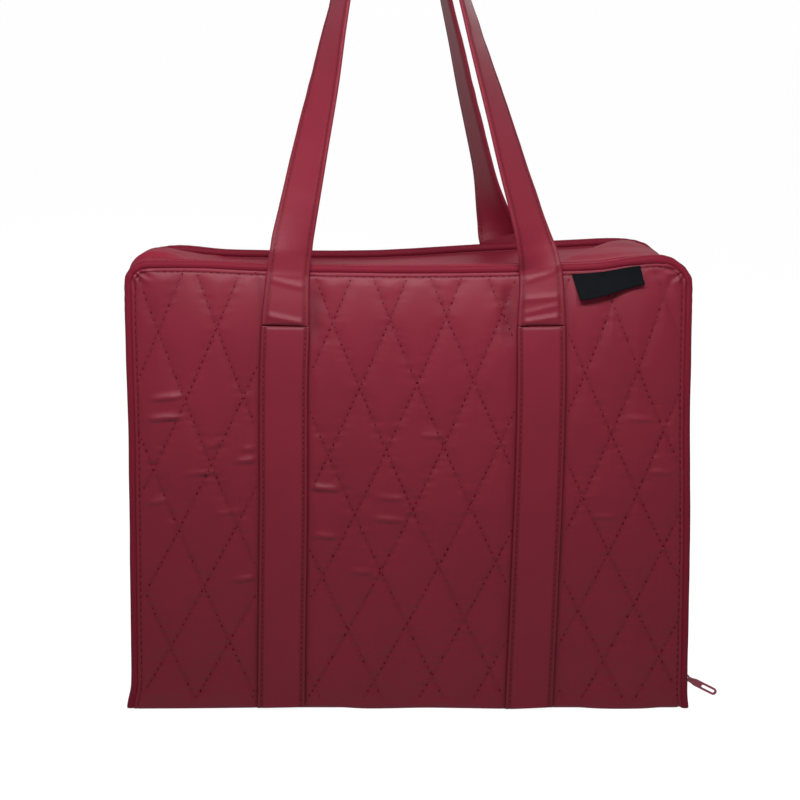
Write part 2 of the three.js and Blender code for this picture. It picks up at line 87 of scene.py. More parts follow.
def make_piece(name, shape, material, thickness=0):
    """Turns a finished shape into a smooth piece. A thickness gives an open sheet its second face."""
    mesh = shape_to_mesh(name, shape)
    for face in mesh.polygons:
        face.use_smooth = True
    mesh.materials.append(material)
    piece = bpy.data.objects.new(name, mesh)
    bpy.context.scene.collection.objects.link(piece)
    if thickness:
        wall = piece.modifiers.new("cloth_thickness", "SOLIDIFY")
        wall.thickness = thickness
        wall.offset = -1
    return piece


PAPER_REACH = 30
SWEEP_START = 1.2
SWEEP_RADIUS = 0.8
SWEEP_STEPS = 12
WALL_HEIGHT = 4
paper_line = [(-PAPER_REACH, 0), (SWEEP_START, 0)]
for step in range(1, SWEEP_STEPS + 1):
    angle = math.radians(90) * step / SWEEP_STEPS
    paper_line.append((SWEEP_START + SWEEP_RADIUS * math.sin(angle), SWEEP_RADIUS * (1 - math.cos(angle))))
paper_line.append((SWEEP_START + SWEEP_RADIUS, WALL_HEIGHT))
paper_shape = bmesh.new()
paper_edge = [paper_shape.verts.new((-PAPER_REACH, y, z)) for y, z in paper_line]
paper_lines = [paper_shape.edges.new(pair) for pair in zip(paper_edge, paper_edge[1:])]
swept = bmesh.ops.extrude_edge_only(paper_shape, edges=paper_lines)
bmesh.ops.translate(
    paper_shape,
    vec=(2 * PAPER_REACH, 0, 0),
    verts=[v for v in swept["geom"] if isinstance(v, bmesh.types.BMVert)],
)
bmesh.ops.recalc_face_normals(paper_shape, faces=paper_shape.faces)
studio_paper = new_finish(
    "studio_paper",
    {
        "Base Color": (0.12, 0.12, 0.12, 1),
        "Roughness": 0.9,
        "Emission Color": (1, 1, 1, 1),
        "Emission Strength": 0.93,
    },
)
make_piece("studio_floor", paper_shape, studio_paper)

studio_air = bpy.data.worlds.new("studio_air")
studio_air.use_nodes = True
studio_air.node_tree.nodes["Background"].inputs["Color"].default_value = (1, 1, 1, 1)
studio_air.node_tree.nodes["Background"].inputs["Strength"].default_value = 0.08
bpy.context.scene.world = studio_air


def soft_box(name, place, aim, width, height, power, spread=180):
    """A flat studio light that looks from its place towards the point it aims at."""
    lamp = bpy.data.lights.new(name, "AREA")
    lamp.shape = "RECTANGLE"
    lamp.size = width
    lamp.size_y = height
    lamp.energy = power
    lamp.spread = math.radians(spread)
    box = bpy.data.objects.new(name, lamp)
    box.location = place
    box.rotation_euler = (Vector(aim) - Vector(place)).to_track_quat("-Z", "Y").to_euler()
    box.visible_camera = False
    bpy.context.scene.collection.objects.link(box)


soft_box("overhead_soft_box", (-0.04, -0.39, 0.60), (-0.02, -0.06, 0.30), 0.60, 0.12, 2.7, 100)
soft_box("left_soft_box", (-1.3, -0.3, 0.8), (0, 0, 0.15), 0.8, 0.8, 3)
soft_box("right_soft_box", (1.3, -0.3, 0.8), (0, 0, 0.15), 0.8, 0.8, 3)
soft_box("rear_soft_box", (0.3, 1.1, 0.9), (0, 0.06, 0.15), 0.8, 0.8, 6)


# The base: a plain cloth underside, a stiff board and the lining over it. The three are held in
# the gusset's lower edge, and only the lining shows when the bag stands open.
BAG_WIDTH = 0.335
BAG_HEIGHT = 0.268
BASE_DEPTH = 0.130
LEAN = 0.033582  # how fast a panel leans in on its way up
CORNER_RADIUS = 0.012


def add_node(tree, kind, values, reads):
    """One node of a material, each of its sockets set to a value or linked to what it reads."""
    node = tree.nodes.new("ShaderNode" + kind)
    for socket, value in values.items():
        node.inputs[socket].default_value = value
    for socket, source in reads.items():
        tree.links.new(source, node.inputs[socket])
    return node


def read_place(tree, kind):
    """Where a point is, on the object or on its own UV map."""
    return tree.nodes.new("ShaderNodeTexCoord").outputs[kind]


def feed(finish, socket, source):
    """Lets a socket of the material's shader read a node."""
    finish.node_tree.links.new(source, finish.node_tree.nodes["Principled BSDF"].inputs[socket])


def soft_shades(tree, colour, spread, scale):
    """Two close shades of one colour, laid out in soft patches. Gives the node socket to read."""
    patches = add_node(
        tree, "TexNoise", {"Scale": scale, "Detail": 4}, {"Vector": read_place(tree, "Object")}
    )
    shades = add_node(tree, "ValToRGB", {}, {"Fac": patches.outputs["Fac"]})
    for element, position, share in zip(shades.color_ramp.elements, (0.3, 0.7), (1 - spread, 1 + spread)):
        element.position = position
        element.color = [c * share for c in colour] + [1]
    return shades.outputs["Color"]


def thread_waves(tree, direction, thread, distortion):
    """Waves one thread pitch apart, across the cloth's own UV map."""
    waves_per_metre = 2 * math.pi / (20 * thread)
    wave = add_node(
        tree,
        "TexWave",
        {"Scale": waves_per_metre, "Distortion": distortion},
        {"Vector": read_place(tree, "UV")},
    )
    wave.bands_direction = direction
    return wave.outputs["Fac"]


def woven_cloth(name, colour, thread, roughness, gloss, relief):
    """Cloth whose threads cross at right angles, one thread pitch apart, along its own UV map."""
    cloth = new_finish(name, {"Roughness": roughness, "Specular IOR Level": gloss})
    tree = cloth.node_tree

    # painted shade: along seams, rows of stitches, stitch grooves, in the dips beside the straps and along
    # their edges, the cloth's colour is multiplied down to stand for the shadow there
    drawn = add_node(tree, "Attribute", {}, {})
    drawn.attribute_name = "painted_seam_shade"
    darker = add_node(
        tree,
        "MixRGB",
        {"Color2": (0.55, 0.22, 0.32, 1)},
        {"Fac": drawn.outputs["Fac"], "Color1": soft_shades(tree, colour, 0.05, 22)},
    )
    darker.blend_type = "MULTIPLY"
    feed(cloth, "Base Color", darker.outputs["Color"])

    # the threads stand out a little where they cross
    waves = [thread_waves(tree, direction, thread, 0.4) for direction in ("X", "Y")]
    weave = add_node(tree, "Math", {}, {0: waves[0], 1: waves[1]})
    weave.operation = "MAXIMUM"
    weave_bump = add_node(
        tree, "Bump", {"Strength": relief, "Distance": 0.00008}, {"Height": weave.outputs["Value"]}
    )

    # and the woven face is a little uneven
    slubs = add_node(tree, "TexNoise", {"Scale": 330, "Detail": 3}, {"Vector": read_place(tree, "Object")})
    slub_bump = add_node(
        tree,
        "Bump",
        {"Strength": 0.3, "Distance": 0.0002},
        {"Height": slubs.outputs["Fac"], "Normal": weave_bump.outputs["Normal"]},
    )
    feed(cloth, "Normal", slub_bump.outputs["Normal"])
    return cloth


plain_cotton = woven_cloth("plain_cotton", (0.096, 0.0043, 0.0124), 0.0004, 0.50, 0.15, 0.25)
lining_cotton = woven_cloth("lining_cotton", (0.085, 0.006, 0.012), 0.0005, 0.7, 0.1, 0.4)


def cut_cloth(width, height, cell):
    """A flat cut of cloth that faces the front and stands on z = 0. Its UV map is in metres."""
    shape = bmesh.new()
    threads = shape.loops.layers.uv.new("UVMap")
    bmesh.ops.create_grid(
        shape, x_segments=max(2, round(width / cell)), y_segments=max(2, round(height / cell)), size=0.5
    )
    bmesh.ops.scale(shape, vec=(width, height, 1), verts=shape.verts)
    bmesh.ops.rotate(
        shape, cent=(0, 0, 0), matrix=Matrix.Rotation(math.radians(90), 3, "X"), verts=shape.verts
    )
    bmesh.ops.translate(shape, vec=(0, 0, height / 2), verts=shape.verts)
    for face in shape.faces:
        for loop in face.loops:
            loop[threads].uv = (loop.vert.co.x, loop.vert.co.z)
    return shape


def fasten(piece, body, slot, *nodes):
    """Fixes a piece to a body, and hides the CAD nodes named last, whose place it takes. The slot is not
    used.
    """
    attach(piece, body)
    if nodes:
        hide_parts(*nodes)


def ripple(x, y, z, pitch, height):
    """Soft unevenness that is the same on each run."""
    return height * noise.noise(Vector((x / pitch, y / pitch, z / pitch)))


base_front, base_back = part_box("base_cover")
for base_name, node, top, thickness, cloth, slot in (
    ("base_underside", "base_cover", 0.0015, 0.0014, plain_cotton, "plain_fabric"),
    ("base_inside", "base_lining", 0.0061, 0.0009, lining_cotton, "lining_fabric"),
):
    base_shape = cut_cloth(base_back.x - base_front.x, base_back.y - base_front.y, 0.004)
    for vert in base_shape.verts:
        x, y = vert.co.x, base_front.y + vert.co.z
        vert.co = (x, y, top - abs(ripple(x, y, 0, 0.04, 0.00015)))
    fasten(make_piece(base_name, base_shape, cloth, thickness), "shell", slot, node)


# The two quilted panels: burgundy cotton over a thin wadding, stitched through in long diamonds
# and turned in at the piping. The front one is the flap, and both lean in towards the top.
quilted_cotton = woven_cloth("quilted_cotton", (0.096, 0.0043, 0.0124), 0.0004, 0.50, 0.15, 0.25)

PANEL_INSET = 0.0022
PANEL_HALF = BAG_WIDTH / 2 - PANEL_INSET
PANEL_TOP = BAG_HEIGHT - PANEL_INSET
PANEL_ROUND = CORNER_RADIUS - PANEL_INSET
STITCH_PITCH = 0.0040
STRAP_SPACING = 0.154
BAND_WIDTH = 0.029

panel_place = {
    "front": Matrix.Translation((0, -BASE_DEPTH / 2, 0)),
    "back": Matrix.Translation((0, BASE_DEPTH / 2, 0)) @ Matrix.Rotation(math.pi, 4, "Z"),
}
panel_body = {"front": "flap", "back": "shell"}

# How far the top edge stands off its level, along the front seam and along the back seam
front_rise = (
    (-0.165, 0.0018), (-0.124, 0.0016), (-0.086, -0.0001), (-0.036, -0.0011), (0.020, -0.0014),
    (0.092, -0.0001), (0.113, 0.0008), (0.131, 0.0034), (0.147, 0.0047), (0.154, 0.0040), (0.160, 0.0020),
    (0.166, 0.0008),
)
back_rise = (
    (-0.165, 0.0006), (-0.150, 0.0023), (-0.139, 0.0023), (-0.113, 0.0003), (-0.036, -0.0005),
    (0.003, 0.0007), (0.042, 0.0032), (0.106, 0.0063), (0.132, 0.0075), (0.150, 0.0062), (0.165, 0.0010),
)


def through(places, x):
    """The height at x of a smooth line through a few places."""
    x = min(max(x, places[0][0]), places[-1][0])
    last = len(places) - 1
    i = next(k for k in range(last) if x <= places[k + 1][0])

    def slope(k):
        before, after = places[max(k - 1, 0)], places[min(k + 1, last)]
        return (after[1] - before[1]) / (after[0] - before[0])

    (x0, h0), (x1, h1) = places[i], places[i + 1]
    gap = x1 - x0
    t = (x - x0) / gap
    return (
        h0 * (1 + 2 * t) * (1 - t) ** 2
        + slope(i) * gap * t * (1 - t) ** 2
        + h1 * t * t * (3 - 2 * t)
        + slope(i + 1) * gap * t * t * (t - 1)
    )


def ease(value, low, high):
    """0 below low, 1 above high, and smooth between them."""
    t = min(max((value - low) / (high - low), 0), 1)
    return t * t * (3 - 2 * t)


def near(distance, reach):
    """1 at no distance, falling softly to 0 within two or three times the reach."""
    return math.exp(-((distance / reach) ** 2))


CHAIN_SETBACK = 0.024  # from the front face back to the zip's teeth


def settle(point):
    """Where a point of the straight bag comes to rest in the soft one: the top edge waves a little,
    the left side is drawn in below its middle and the right side above it, and the zip stays straight."""
    x, y, z = point
    back_share = ease(y, -0.04, 0.045)
    rise = through(front_rise, x) * (1 - back_share) + through(back_rise, x) * back_share
    drawn_in = 0.0014 * ease(-x, 0.10, 0.165) * (1 - ease(z, 0.16, 0.25)) * ease(z, 0.0, 0.015)
    drawn_in -= 0.0017 * ease(x, 0.10, 0.165) * ease(z, 0.09, 0.20)
    from_zip = y + BASE_DEPTH / 2 - CHAIN_SETBACK - LEAN * z
    drawn_in *= 1 - math.exp(-((from_zip / 0.012) ** 4))
    return Vector((x + drawn_in, y, z + rise * ease(z, 0.19, 0.262)))


def rising_line(x, z):
    """Counts the stitch lines that rise to the right: it is a whole number on each of them."""
    return 7.93 + (29.95 + 3.8 * x + 2.8 * z) * x - (17.25 - 9.65 * z) * z


def falling_line(x, z):
    """Counts the stitch lines that fall to the right in the same way."""
    return 1.33 + (26.84 + 4.6 * x + 9.65 * z) * x + (13.51 - 3.6 * z) * z


def line_slopes(count, x, z):
    """How fast a count of lines changes along x and along z."""
    small = 0.0005
    here = count(x, z)
    return (count(x + small, z) - here) / small, (count(x, z + small) - here) / small


def from_stitching(x, z):
    """How far a point of the panel is from its nearest stitch line."""
    nearest = 1.0
    for count in (rising_line, falling_line):
        here = count(x, z)
        nearest = min(nearest, abs(here - round(here)) / math.hypot(*line_slopes(count, x, z)))
    return nearest


def along_line(count, line):
    """Evenly spaced places on one stitch line, from the floor up, each with its slope of x over z."""
    places = []
    x, z = 0.0, 0.003
    while z < BAG_HEIGHT:
        for _ in range(3):
            x -= (count(x, z) - line) / line_slopes(count, x, z)[0]
        across, up = line_slopes(count, x, z)
        slope = -up / across
        places.append((x, z, slope))
        z += STITCH_PITCH / math.hypot(1, slope)
    return places


def from_edge(x, z):
    """How far a point is inside the panel's outline."""
    dx = abs(x) - (PANEL_HALF - PANEL_ROUND)
    dz = z - (PANEL_TOP - PANEL_ROUND)
    if dx > 0 and dz > 0:
        return PANEL_ROUND - math.hypot(dx, dz)
    return min(PANEL_HALF - abs(x), PANEL_TOP - z)


# Where each strap wanders from its upright line on its way up, to the right seen from its own side
left_drift = ((0.0, 0.0), (0.12, 0.0018), (0.20, 0.0021), (0.236, 0.0032), (0.25, 0.0030), (0.285, 0.0))
right_drift = ((0.0, -0.0040), (0.09, -0.0012), (0.19, 0.0008), (0.236, 0.0005), (0.285, 0.0))


def strap_drift(side, z):
    return through(left_drift if side < 0 else right_drift, z)


def beside_strap(x, z):
    """How far a point of the panel is outside the nearer strap's edge."""
    side = math.copysign(1, x)
    return abs(x - side * STRAP_SPACING / 2 - strap_drift(side, z)) - BAND_WIDTH / 2


def under_strap(x, z):
    """1 where a strap band or a handle's end presses the panel flat, falling to 0 beside it."""
    return 1 - ease(beside_strap(x, z), 0, 0.006)


MARGIN_WIDTH = 0.0024
WADDING_SWELL = 0.0058
ROLL_START = 0.19  # the height above which the panel's face rolls back to its seam
crown_half = PANEL_HALF - 0.0006
crown_roll = PANEL_TOP - 0.0011 - ROLL_START


def panel_crown(x, z):
    """How far the wadding swells the panel's face. Its top rolls back to the seam."""
    across = 1 - (abs(x) / crown_half) ** 6
    upwards = ease(z, 0, 0.14) if z < ROLL_START else 1 - ((z - ROLL_START) / crown_roll) ** 3
    return WADDING_SWELL * max(across, 0) * max(upwards, 0)



# Small creases across the front panel: place along x and z, half length, and height
front_creases = (
    (-0.145, 0.1905, 0.010, 0.0009), (-0.146, 0.1785, 0.011, 0.0010), (-0.094, 0.1605, 0.006, 0.0006),
    (-0.095, 0.1535, 0.008, 0.0008), (-0.126, 0.1455, 0.009, 0.0005), (-0.152, 0.1275, 0.007, 0.0006),
    (-0.109, 0.1215, 0.007, 0.0005), (-0.050, 0.1365, 0.009, 0.0009), (-0.011, 0.1305, 0.008, 0.0006),
    (-0.012, 0.1175, 0.010, 0.0007), (-0.050, 0.1075, 0.008, 0.0007), (-0.028, 0.0855, 0.007, 0.0006),
    (-0.097, 0.0815, 0.009, 0.0008), (0.140, 0.1775, 0.010, 0.0006), (0.151, 0.1455, 0.009, 0.0006),
    (0.013, 0.1680, 0.006, 0.0005), (-0.118, 0.1620, 0.005, 0.0004), (0.118, 0.1190, 0.007, 0.0005),
)
crease_draw = random.Random(7)
back_creases = tuple(
    (
        crease_draw.uniform(-0.15, 0.15),
        crease_draw.uniform(0.05, 0.22),
        crease_draw.uniform(0.006, 0.011),
        crease_draw.uniform(0.0004, 0.0009),
    )
    for _ in range(16)
)


def crease_height(creases, x, z):
    """How far the creases lift the cloth. Each is steep below and falls away slowly above."""
    height = 0
    for cx, cz, half, rise in creases:
        along = (x - cx) / half
        slant = 0.10 if cx < -0.09 else -0.07
        above = z - cz - slant * (x - cx)
        reach = 0.0024 if above > 0 else 0.0009
        if abs(along) <= 3 and abs(above) < 3 * reach:
            height += 1.7 * rise * math.exp(-along ** 4) * near(above, reach)
    return height


def panel_relief(x, z, creases):
    """How far the quilted face stands out, drawn down along its stitches, and how much painted shade
    darkens it along the stitch grooves, the margin row, the dips beside the straps and the straps' edges.
    """
    sewn = from_stitching(x, z)
    edge = from_edge(x, z)
    free = (1 - under_strap(x, z)) * ease(edge, 0.0005, 0.008) * ease(z, 0.002, 0.012)
    puff = 0.0008 * (1 - near(sewn, 0.0055))
    groove = near(sewn, 0.0011)
    soft = ripple(x, 0.3, z, 0.045, 0.0007) + ripple(x, 0.7, z * 0.6, 0.016, 0.00018)
    gathers = ripple(x, 0.1, z * 0.2, 0.006, 0.00035) * near(edge, 0.009)
    puckers = ripple(x * 0.30, 0.5, z, 0.0028, 0.00065) * near(sewn, 0.0045)
    puckers *= 1 - 0.55 * ease(z, 0.16, 0.22)
    out = free * (puff - 0.0002 * groove + soft + crease_height(creases, x, z) + gathers + puckers)

    # the cloth is drawn into small folds that fan out from the two top corners
    to_corner = Vector((PANEL_HALF - abs(x), PANEL_TOP - z))
    fan = math.sin(13 * math.atan2(to_corner.y, to_corner.x) + 1.2 * math.copysign(1, x))
    out += 0.0006 * fan * near(to_corner.length - 0.008, 0.005)

    # a flat margin is sewn down beside the piping, with painted shade along its row of stitches
    margin_row = near(edge - MARGIN_WIDTH, 0.0005)
    turned_in = 0.0004 * math.exp(-edge / 0.0006) + 0.0008 * math.exp(-max(z - 0.0003, 0) / 0.0010)

    # and the cloth dips beside the upper ends of the two straps, with painted shadow in the dips
    dips = 0
    for dip_x in (-0.0560, 0.0575):
        dips += near(x - dip_x, 0.0050) * ease(z, 0.220, 0.236) * (1 - ease(z, 0.250, 0.264))
    out -= turned_in + 0.0004 * margin_row + 0.0012 * dips
    # painted shadow along the straps' edges. The second value returned is all painted shade, which the
    # cloth's material multiplies into its colour
    strap_edge_shadow = near(beside_strap(x, z), 0.0013)
    return out, max(0.35 * groove * free, 0.9 * margin_row, 0.6 * dips, 0.5 * strap_edge_shadow)


def round_top_corners(shape):
    """Draws the two square top corners of an upright panel in to a round."""
    for vert in shape.verts:
        dx = abs(vert.co.x) - (PANEL_HALF - PANEL_ROUND)
        dz = vert.co.z - (PANEL_TOP - PANEL_ROUND)
        if dx > 1e-7 and dz > 1e-7:
            pull = max(dx, dz) / math.hypot(dx, dz)
            vert.co.x = math.copysign(PANEL_HALF - PANEL_ROUND + dx * pull, vert.co.x)
            vert.co.z = PANEL_TOP - PANEL_ROUND + dz * pull


def stitch_mesh():
    """One machine stitch that lies along +X: the thread, and at its end a small dark dot of painted shade
    where the needle went through.
    """
    shape = bmesh.new()
    thread = bmesh.ops.create_uvsphere(shape, u_segments=6, v_segments=3, radius=1)["verts"]
    bmesh.ops.scale(shape, vec=(0.00120, 0.00024, 0.0002), verts=thread)
    hole_shade = bmesh.ops.create_uvsphere(shape, u_segments=6, v_segments=3, radius=1)["verts"]
    bmesh.ops.scale(shape, vec=(0.00056, 0.00042, 0.00014), verts=hole_shade)
    bmesh.ops.translate(shape, vec=(0.0018, 0, 0.0001), verts=hole_shade)
    for vert in hole_shade:
        for face in vert.link_faces:
            face.material_index = 1
    return shape_to_mesh("stitch", shape)


def tinted_finish(name, colour, spread, scale, sockets):
    """A material in two close shades of one colour."""
    finish = new_finish(name, sockets)
    feed(finish, "Base Color", soft_shades(finish.node_tree, colour, spread, scale))
    return finish


sewing_thread = tinted_finish(
    "sewing_thread", (0.112, 0.0075, 0.0160), 0.15, 400, {"Roughness": 0.6, "Specular IOR Level": 0.14}
)
# painted shade: the dark dots at the stitches' ends stand for the shadow in the needle holes
painted_hole_shade = tinted_finish(
    "painted_hole_shade", (0.060, 0.0008, 0.0036), 0.15, 400, {"Roughness": 1.0, "Specular IOR Level": 0.0}
)
one_stitch = stitch_mesh()


def sew(name, stitches, scale=1.0):
    """One piece of thread from many stitches, each a middle, a way along and a way out."""
    uneven = random.Random(name)
    shape = bmesh.new()
    for middle, along, out in stitches:
        along = along.normalized()
        out = (out - along * out.dot(along)).normalized()
        turned = Matrix((along, out.cross(along), out)).transposed().to_4x4()
        stitch = one_stitch.copy()
        size = scale * uneven.uniform(0.75, 1.1)
        stitch.transform(Matrix.Translation(middle) @ turned @ Matrix.Scale(size, 4))
        shape.from_mesh(stitch)
        bpy.data.meshes.remove(stitch)
    piece = make_piece(name, shape, sewing_thread)
    # the second material is the painted shade of the needle holes
    piece.data.materials.append(painted_hole_shade)
    return piece


# How far a panel's lower edge lifts off the floor
lower_edge = (
    (-0.165, 0.0), (-0.130, 0.0002), (-0.096, 0.0006), (-0.050, 0.0013), (-0.025, 0.0001), (0.010, 0.0006),
    (0.036, 0.0003), (0.059, 0.0), (0.094, 0.0012), (0.118, 0.0), (0.140, 0.0), (0.156, 0.0010),
    (0.165, 0.0012),
)


def panel_point(panel, x, out, z):
    """A point in front of a panel's outer face, in the bag's frame, swollen and settled."""
    lifted = through(lower_edge, x) * (1 - ease(z, 0, 0.012))
    return settle(panel_place[panel] @ Vector((x, -out - panel_crown(x, z) + LEAN * z, z + lifted)))


def ear_flare(x, z):
    """The piping's lower ends stand out a little, and the panel's bottom corners go with them."""
    reach, height = (0.0013, 0.011) if x < 0 else (0.0010, 0.006)
    return math.copysign(reach * near(z, height), x) * ease(abs(x), 0.145, 0.160)


def panel_outwards(panel):
    return panel_place[panel].to_3x3() @ Vector((0, -1, LEAN)).normalized()


COVER_BOTTOM = 0.0003
COVER_DEPTH = 0.0029
SIDE_STITCHES = 62
TOP_STITCHES = 39
STEP = 0.001
for panel, creases, cell in (("front", front_creases, 0.0011), ("back", back_creases, 0.0014)):
    cover_shape = cut_cloth(2 * PANEL_HALF, PANEL_TOP - COVER_BOTTOM, cell)
    bmesh.ops.translate(cover_shape, vec=(0, 0, COVER_BOTTOM), verts=cover_shape.verts)
    for inside in (0.0006, 0.0016, 0.0020, MARGIN_WIDTH, 0.0029):
        for rim_point, rim_way in (
            ((PANEL_HALF - inside, 0, 0), (1, 0, 0)),
            ((inside - PANEL_HALF, 0, 0), (-1, 0, 0)),
            ((0, 0, PANEL_TOP - inside), (0, 0, 1)),
        ):
            bmesh.ops.bisect_plane(
                cover_shape,
                geom=cover_shape.verts[:] + cover_shape.edges[:] + cover_shape.faces[:],
                dist=1e-6,
                plane_co=rim_point,
                plane_no=rim_way,
            )
    round_top_corners(cover_shape)
    painted_shade_layer = cover_shape.verts.layers.float.new("painted_seam_shade")
    for vert in cover_shape.verts:
        x, z = vert.co.x, vert.co.z
        # the second value is painted shade, kept on each point for the cloth's material
        out, groove = panel_relief(x, z, creases)
        vert[painted_shade_layer] = groove
        vert.co = panel_point(panel, x + ear_flare(x, z), out, z)
    rim = [edge for edge in cover_shape.edges if edge.is_boundary]
    turned = bmesh.ops.extrude_edge_only(cover_shape, edges=rim)["geom"]
    inwards = -panel_outwards(panel)
    back_plane = panel_place[panel] @ Vector((0, COVER_DEPTH, 0))
    for vert in turned:
        if isinstance(vert, bmesh.types.BMVert):
            depth = inwards.dot(back_plane - vert.co)
            vert.co += inwards * depth
    back_edges = [e for e in turned if isinstance(e, bmesh.types.BMEdge) and e.is_boundary]
    bmesh.ops.holes_fill(cover_shape, edges=back_edges, sides=0)
    bmesh.ops.recalc_face_normals(cover_shape, faces=cover_shape.faces)
    quilted_panel = make_piece(f"{panel}_quilted_panel", cover_shape, quilted_cotton)
    fasten(quilted_panel, panel_body[panel], "quilted_fabric", f"{panel}_cover")

    # each stitch has its place along x and z, and a small step along its row
    row = []
    sunk = random.Random(11)
    for count, lines, lost in ((rising_line, range(-2, 14), 0.20), (falling_line, range(-4, 9), 0.42)):
        for line in lines:
            for x, z, slope in along_line(count, line):
                # some stitches sink out of sight in the cloth, most of them low down
                if sunk.random() < lost * (1 - 0.8 * ease(z, 0.06, 0.16)):
                    continue
                if from_edge(x, z) < 0.003 or z < 0.005 or under_strap(x, z) > 0.9:
                    continue
                # the top right corner is left free of them
                if z > 0.238 and x > 0.140:
                    continue
                row.append((x, z, slope * STEP, STEP))

    # the margin's own stitches run up both sides and along the top
    margin_half = PANEL_HALF - MARGIN_WIDTH
    margin_top = PANEL_TOP - MARGIN_WIDTH
    for k in range(SIDE_STITCHES):
        up = (k + 0.5) / SIDE_STITCHES * (margin_top - PANEL_ROUND)
        row += [(side * margin_half, up, 0, STEP) for side in (-1, 1)]
    for k in range(TOP_STITCHES):
        across = (k + 0.5) / TOP_STITCHES * (margin_half - PANEL_ROUND)
        row += [(side * across, margin_top, STEP, 0) for side in (-1, 1)]

    stitches = []
    for x, z, step_x, step_z in row:
        out, _ = panel_relief(x, z, creases)
        here = panel_point(panel, x, out, z)
        ahead = panel_point(panel, x + step_x, out, z + step_z)
        stitches.append((here, ahead - here, panel_outwards(panel)))
    fasten(sew(f"{panel}_quilting", stitches, 1.15), panel_body[panel], "quilted_fabric")


# The stiff boards inside both panels and the base. Cut board, hidden between cloth and lining;
# its edge shows only if the layers are pulled apart.
grey_board = tinted_finish("grey_board", (0.28, 0.25, 0.2), 0.08, 140, {"Roughness": 0.9})
for node in ("front_board", "back_board", "base_board"):
    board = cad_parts[node]
    board.data.materials.clear()
    board.data.materials.append(grey_board)


# The panels' linings and the wide pocket on each: thin burgundy cotton. The pocket's top edge is
# bound in the outer cloth and stands a little open.
POCKET_WIDTH = 0.300
POCKET_BOTTOM = 0.014
POCKET_HEIGHT = 0.140
LINING_FACE = 0.0061
POCKET_FACE = 0.0074
LINING_BOTTOM = 0.0067
LINING_CELL = 0.004
POCKET_THICKNESS = 0.0008
BINDING_HEIGHT = 0.0103


def inside_point(panel, x, depth, z):
    """A point at some depth behind a panel's outer face. Its x is seen from inside the bag."""
    return settle(panel_place[panel] @ Vector((-x, depth + LEAN * z, z)))


def pocket_gape(x, z):
    """How far the pocket's cloth stands off the lining: most at its open edge, none at its seams."""
    sides = 1 - (2 * x / POCKET_WIDTH) ** 2
    height = (z - POCKET_BOTTOM) / POCKET_HEIGHT
    return 0.0035 * max(sides, 0) * max(height, 0) ** 2


for panel in ("front", "back"):
    body = panel_body[panel]
    lining_shape = cut_cloth(2 * PANEL_HALF, PANEL_TOP - LINING_BOTTOM, LINING_CELL)
    bmesh.ops.translate(lining_shape, vec=(0, 0, LINING_BOTTOM), verts=lining_shape.verts)
    round_top_corners(lining_shape)
    for vert in lining_shape.verts:
        x, z = vert.co.x, vert.co.z
        billow = 0.0008 * ease(z, 0.165, 0.2) * ease(from_edge(x, z), 0, 0.03)
        wave = ripple(x, 0.5, z, 0.03, 1)
        vert.co = inside_point(panel, x, LINING_FACE + billow * (0.4 + wave), z)
    panel_lining = make_piece(f"{panel}_lining_cloth", lining_shape, lining_cotton, 0.0009)
    fasten(panel_lining, body, "lining_fabric", f"{panel}_lining")

    pocket_shape = cut_cloth(POCKET_WIDTH, POCKET_HEIGHT, LINING_CELL)
    for vert in pocket_shape.verts:
        x, z = vert.co.x, vert.co.z + POCKET_BOTTOM
        wave = abs(ripple(x, 0.9, z, 0.035, 0.0008)) * ease(z, POCKET_BOTTOM, 0.05)
        vert.co = inside_point(panel, x, POCKET_FACE + pocket_gape(x, z) + wave, z)
    pocket = make_piece(f"{panel}_pocket_cloth", pocket_shape, lining_cotton, POCKET_THICKNESS)
    fasten(pocket, body, "lining_fabric", f"{panel}_pocket")

    binding_shape = cut_cloth(POCKET_WIDTH, BINDING_HEIGHT, 0.0017)
    for vert in binding_shape.verts:
        x, z = vert.co.x, vert.co.z + POCKET_BOTTOM + POCKET_HEIGHT - 0.010
        wave = abs(ripple(x, 0.9, z, 0.035, 0.0008))
        rounded = 0.0004 * (1 - (2 * vert.co.z / BINDING_HEIGHT - 1) ** 4)
        depth = POCKET_FACE + POCKET_THICKNESS + rounded + pocket_gape(x, z) + wave
        vert.co = inside_point(panel, x, depth, z)
    binding = make_piece(f"{panel}_pocket_edge", binding_shape, plain_cotton, 0.0006)
    fasten(binding, body, "plain_fabric", f"{panel}_pocket_binding")


# The gusset: one long strip of the outer cloth round both sides and the top. Its main part is
# sewn to the back panel, its narrow part to the flap, and both are hemmed along the zip.
# painted sheen: the gusset's cloth is the panels' own cloth, coloured lighter and given less gloss, so that
# its colour stands for the sheen its top catches
gusset_cotton_painted_sheen = woven_cloth("gusset_cotton_painted_sheen", (0.122, 0.0085, 0.0180), 0.0004, 0.70, 0.025, 0.25)


def arch_length(inset, bottom):
    radius = CORNER_RADIUS - inset
    side = BAG_HEIGHT - inset - radius - bottom
    return 2 * side + math.pi * radius + 2 * (BAG_WIDTH / 2 - inset - radius)


def arch_point(inset, bottom, along):
    """A point on the bag's outline moved in by inset, a way along from the left end: x, z, and outwards."""
    radius = CORNER_RADIUS - inset
    half = BAG_WIDTH / 2 - inset
    side = BAG_HEIGHT - inset - radius - bottom
    whole = arch_length(inset, bottom)
    hand = -1 if along < whole / 2 else 1
    from_end = min(along, whole - along)
    if from_end < side:
        return hand * half, bottom + from_end, hand, 0
    turn = (from_end - side) / radius
    if turn < math.pi / 2:
        nx, nz = hand * math.cos(turn), math.sin(turn)
        return hand * (half - radius) + nx * radius, bottom + side + nz * radius, nx, nz
    on_top = from_end - side - radius * math.pi / 2
    return hand * (half - radius - on_top), BAG_HEIGHT - inset, 0, 1


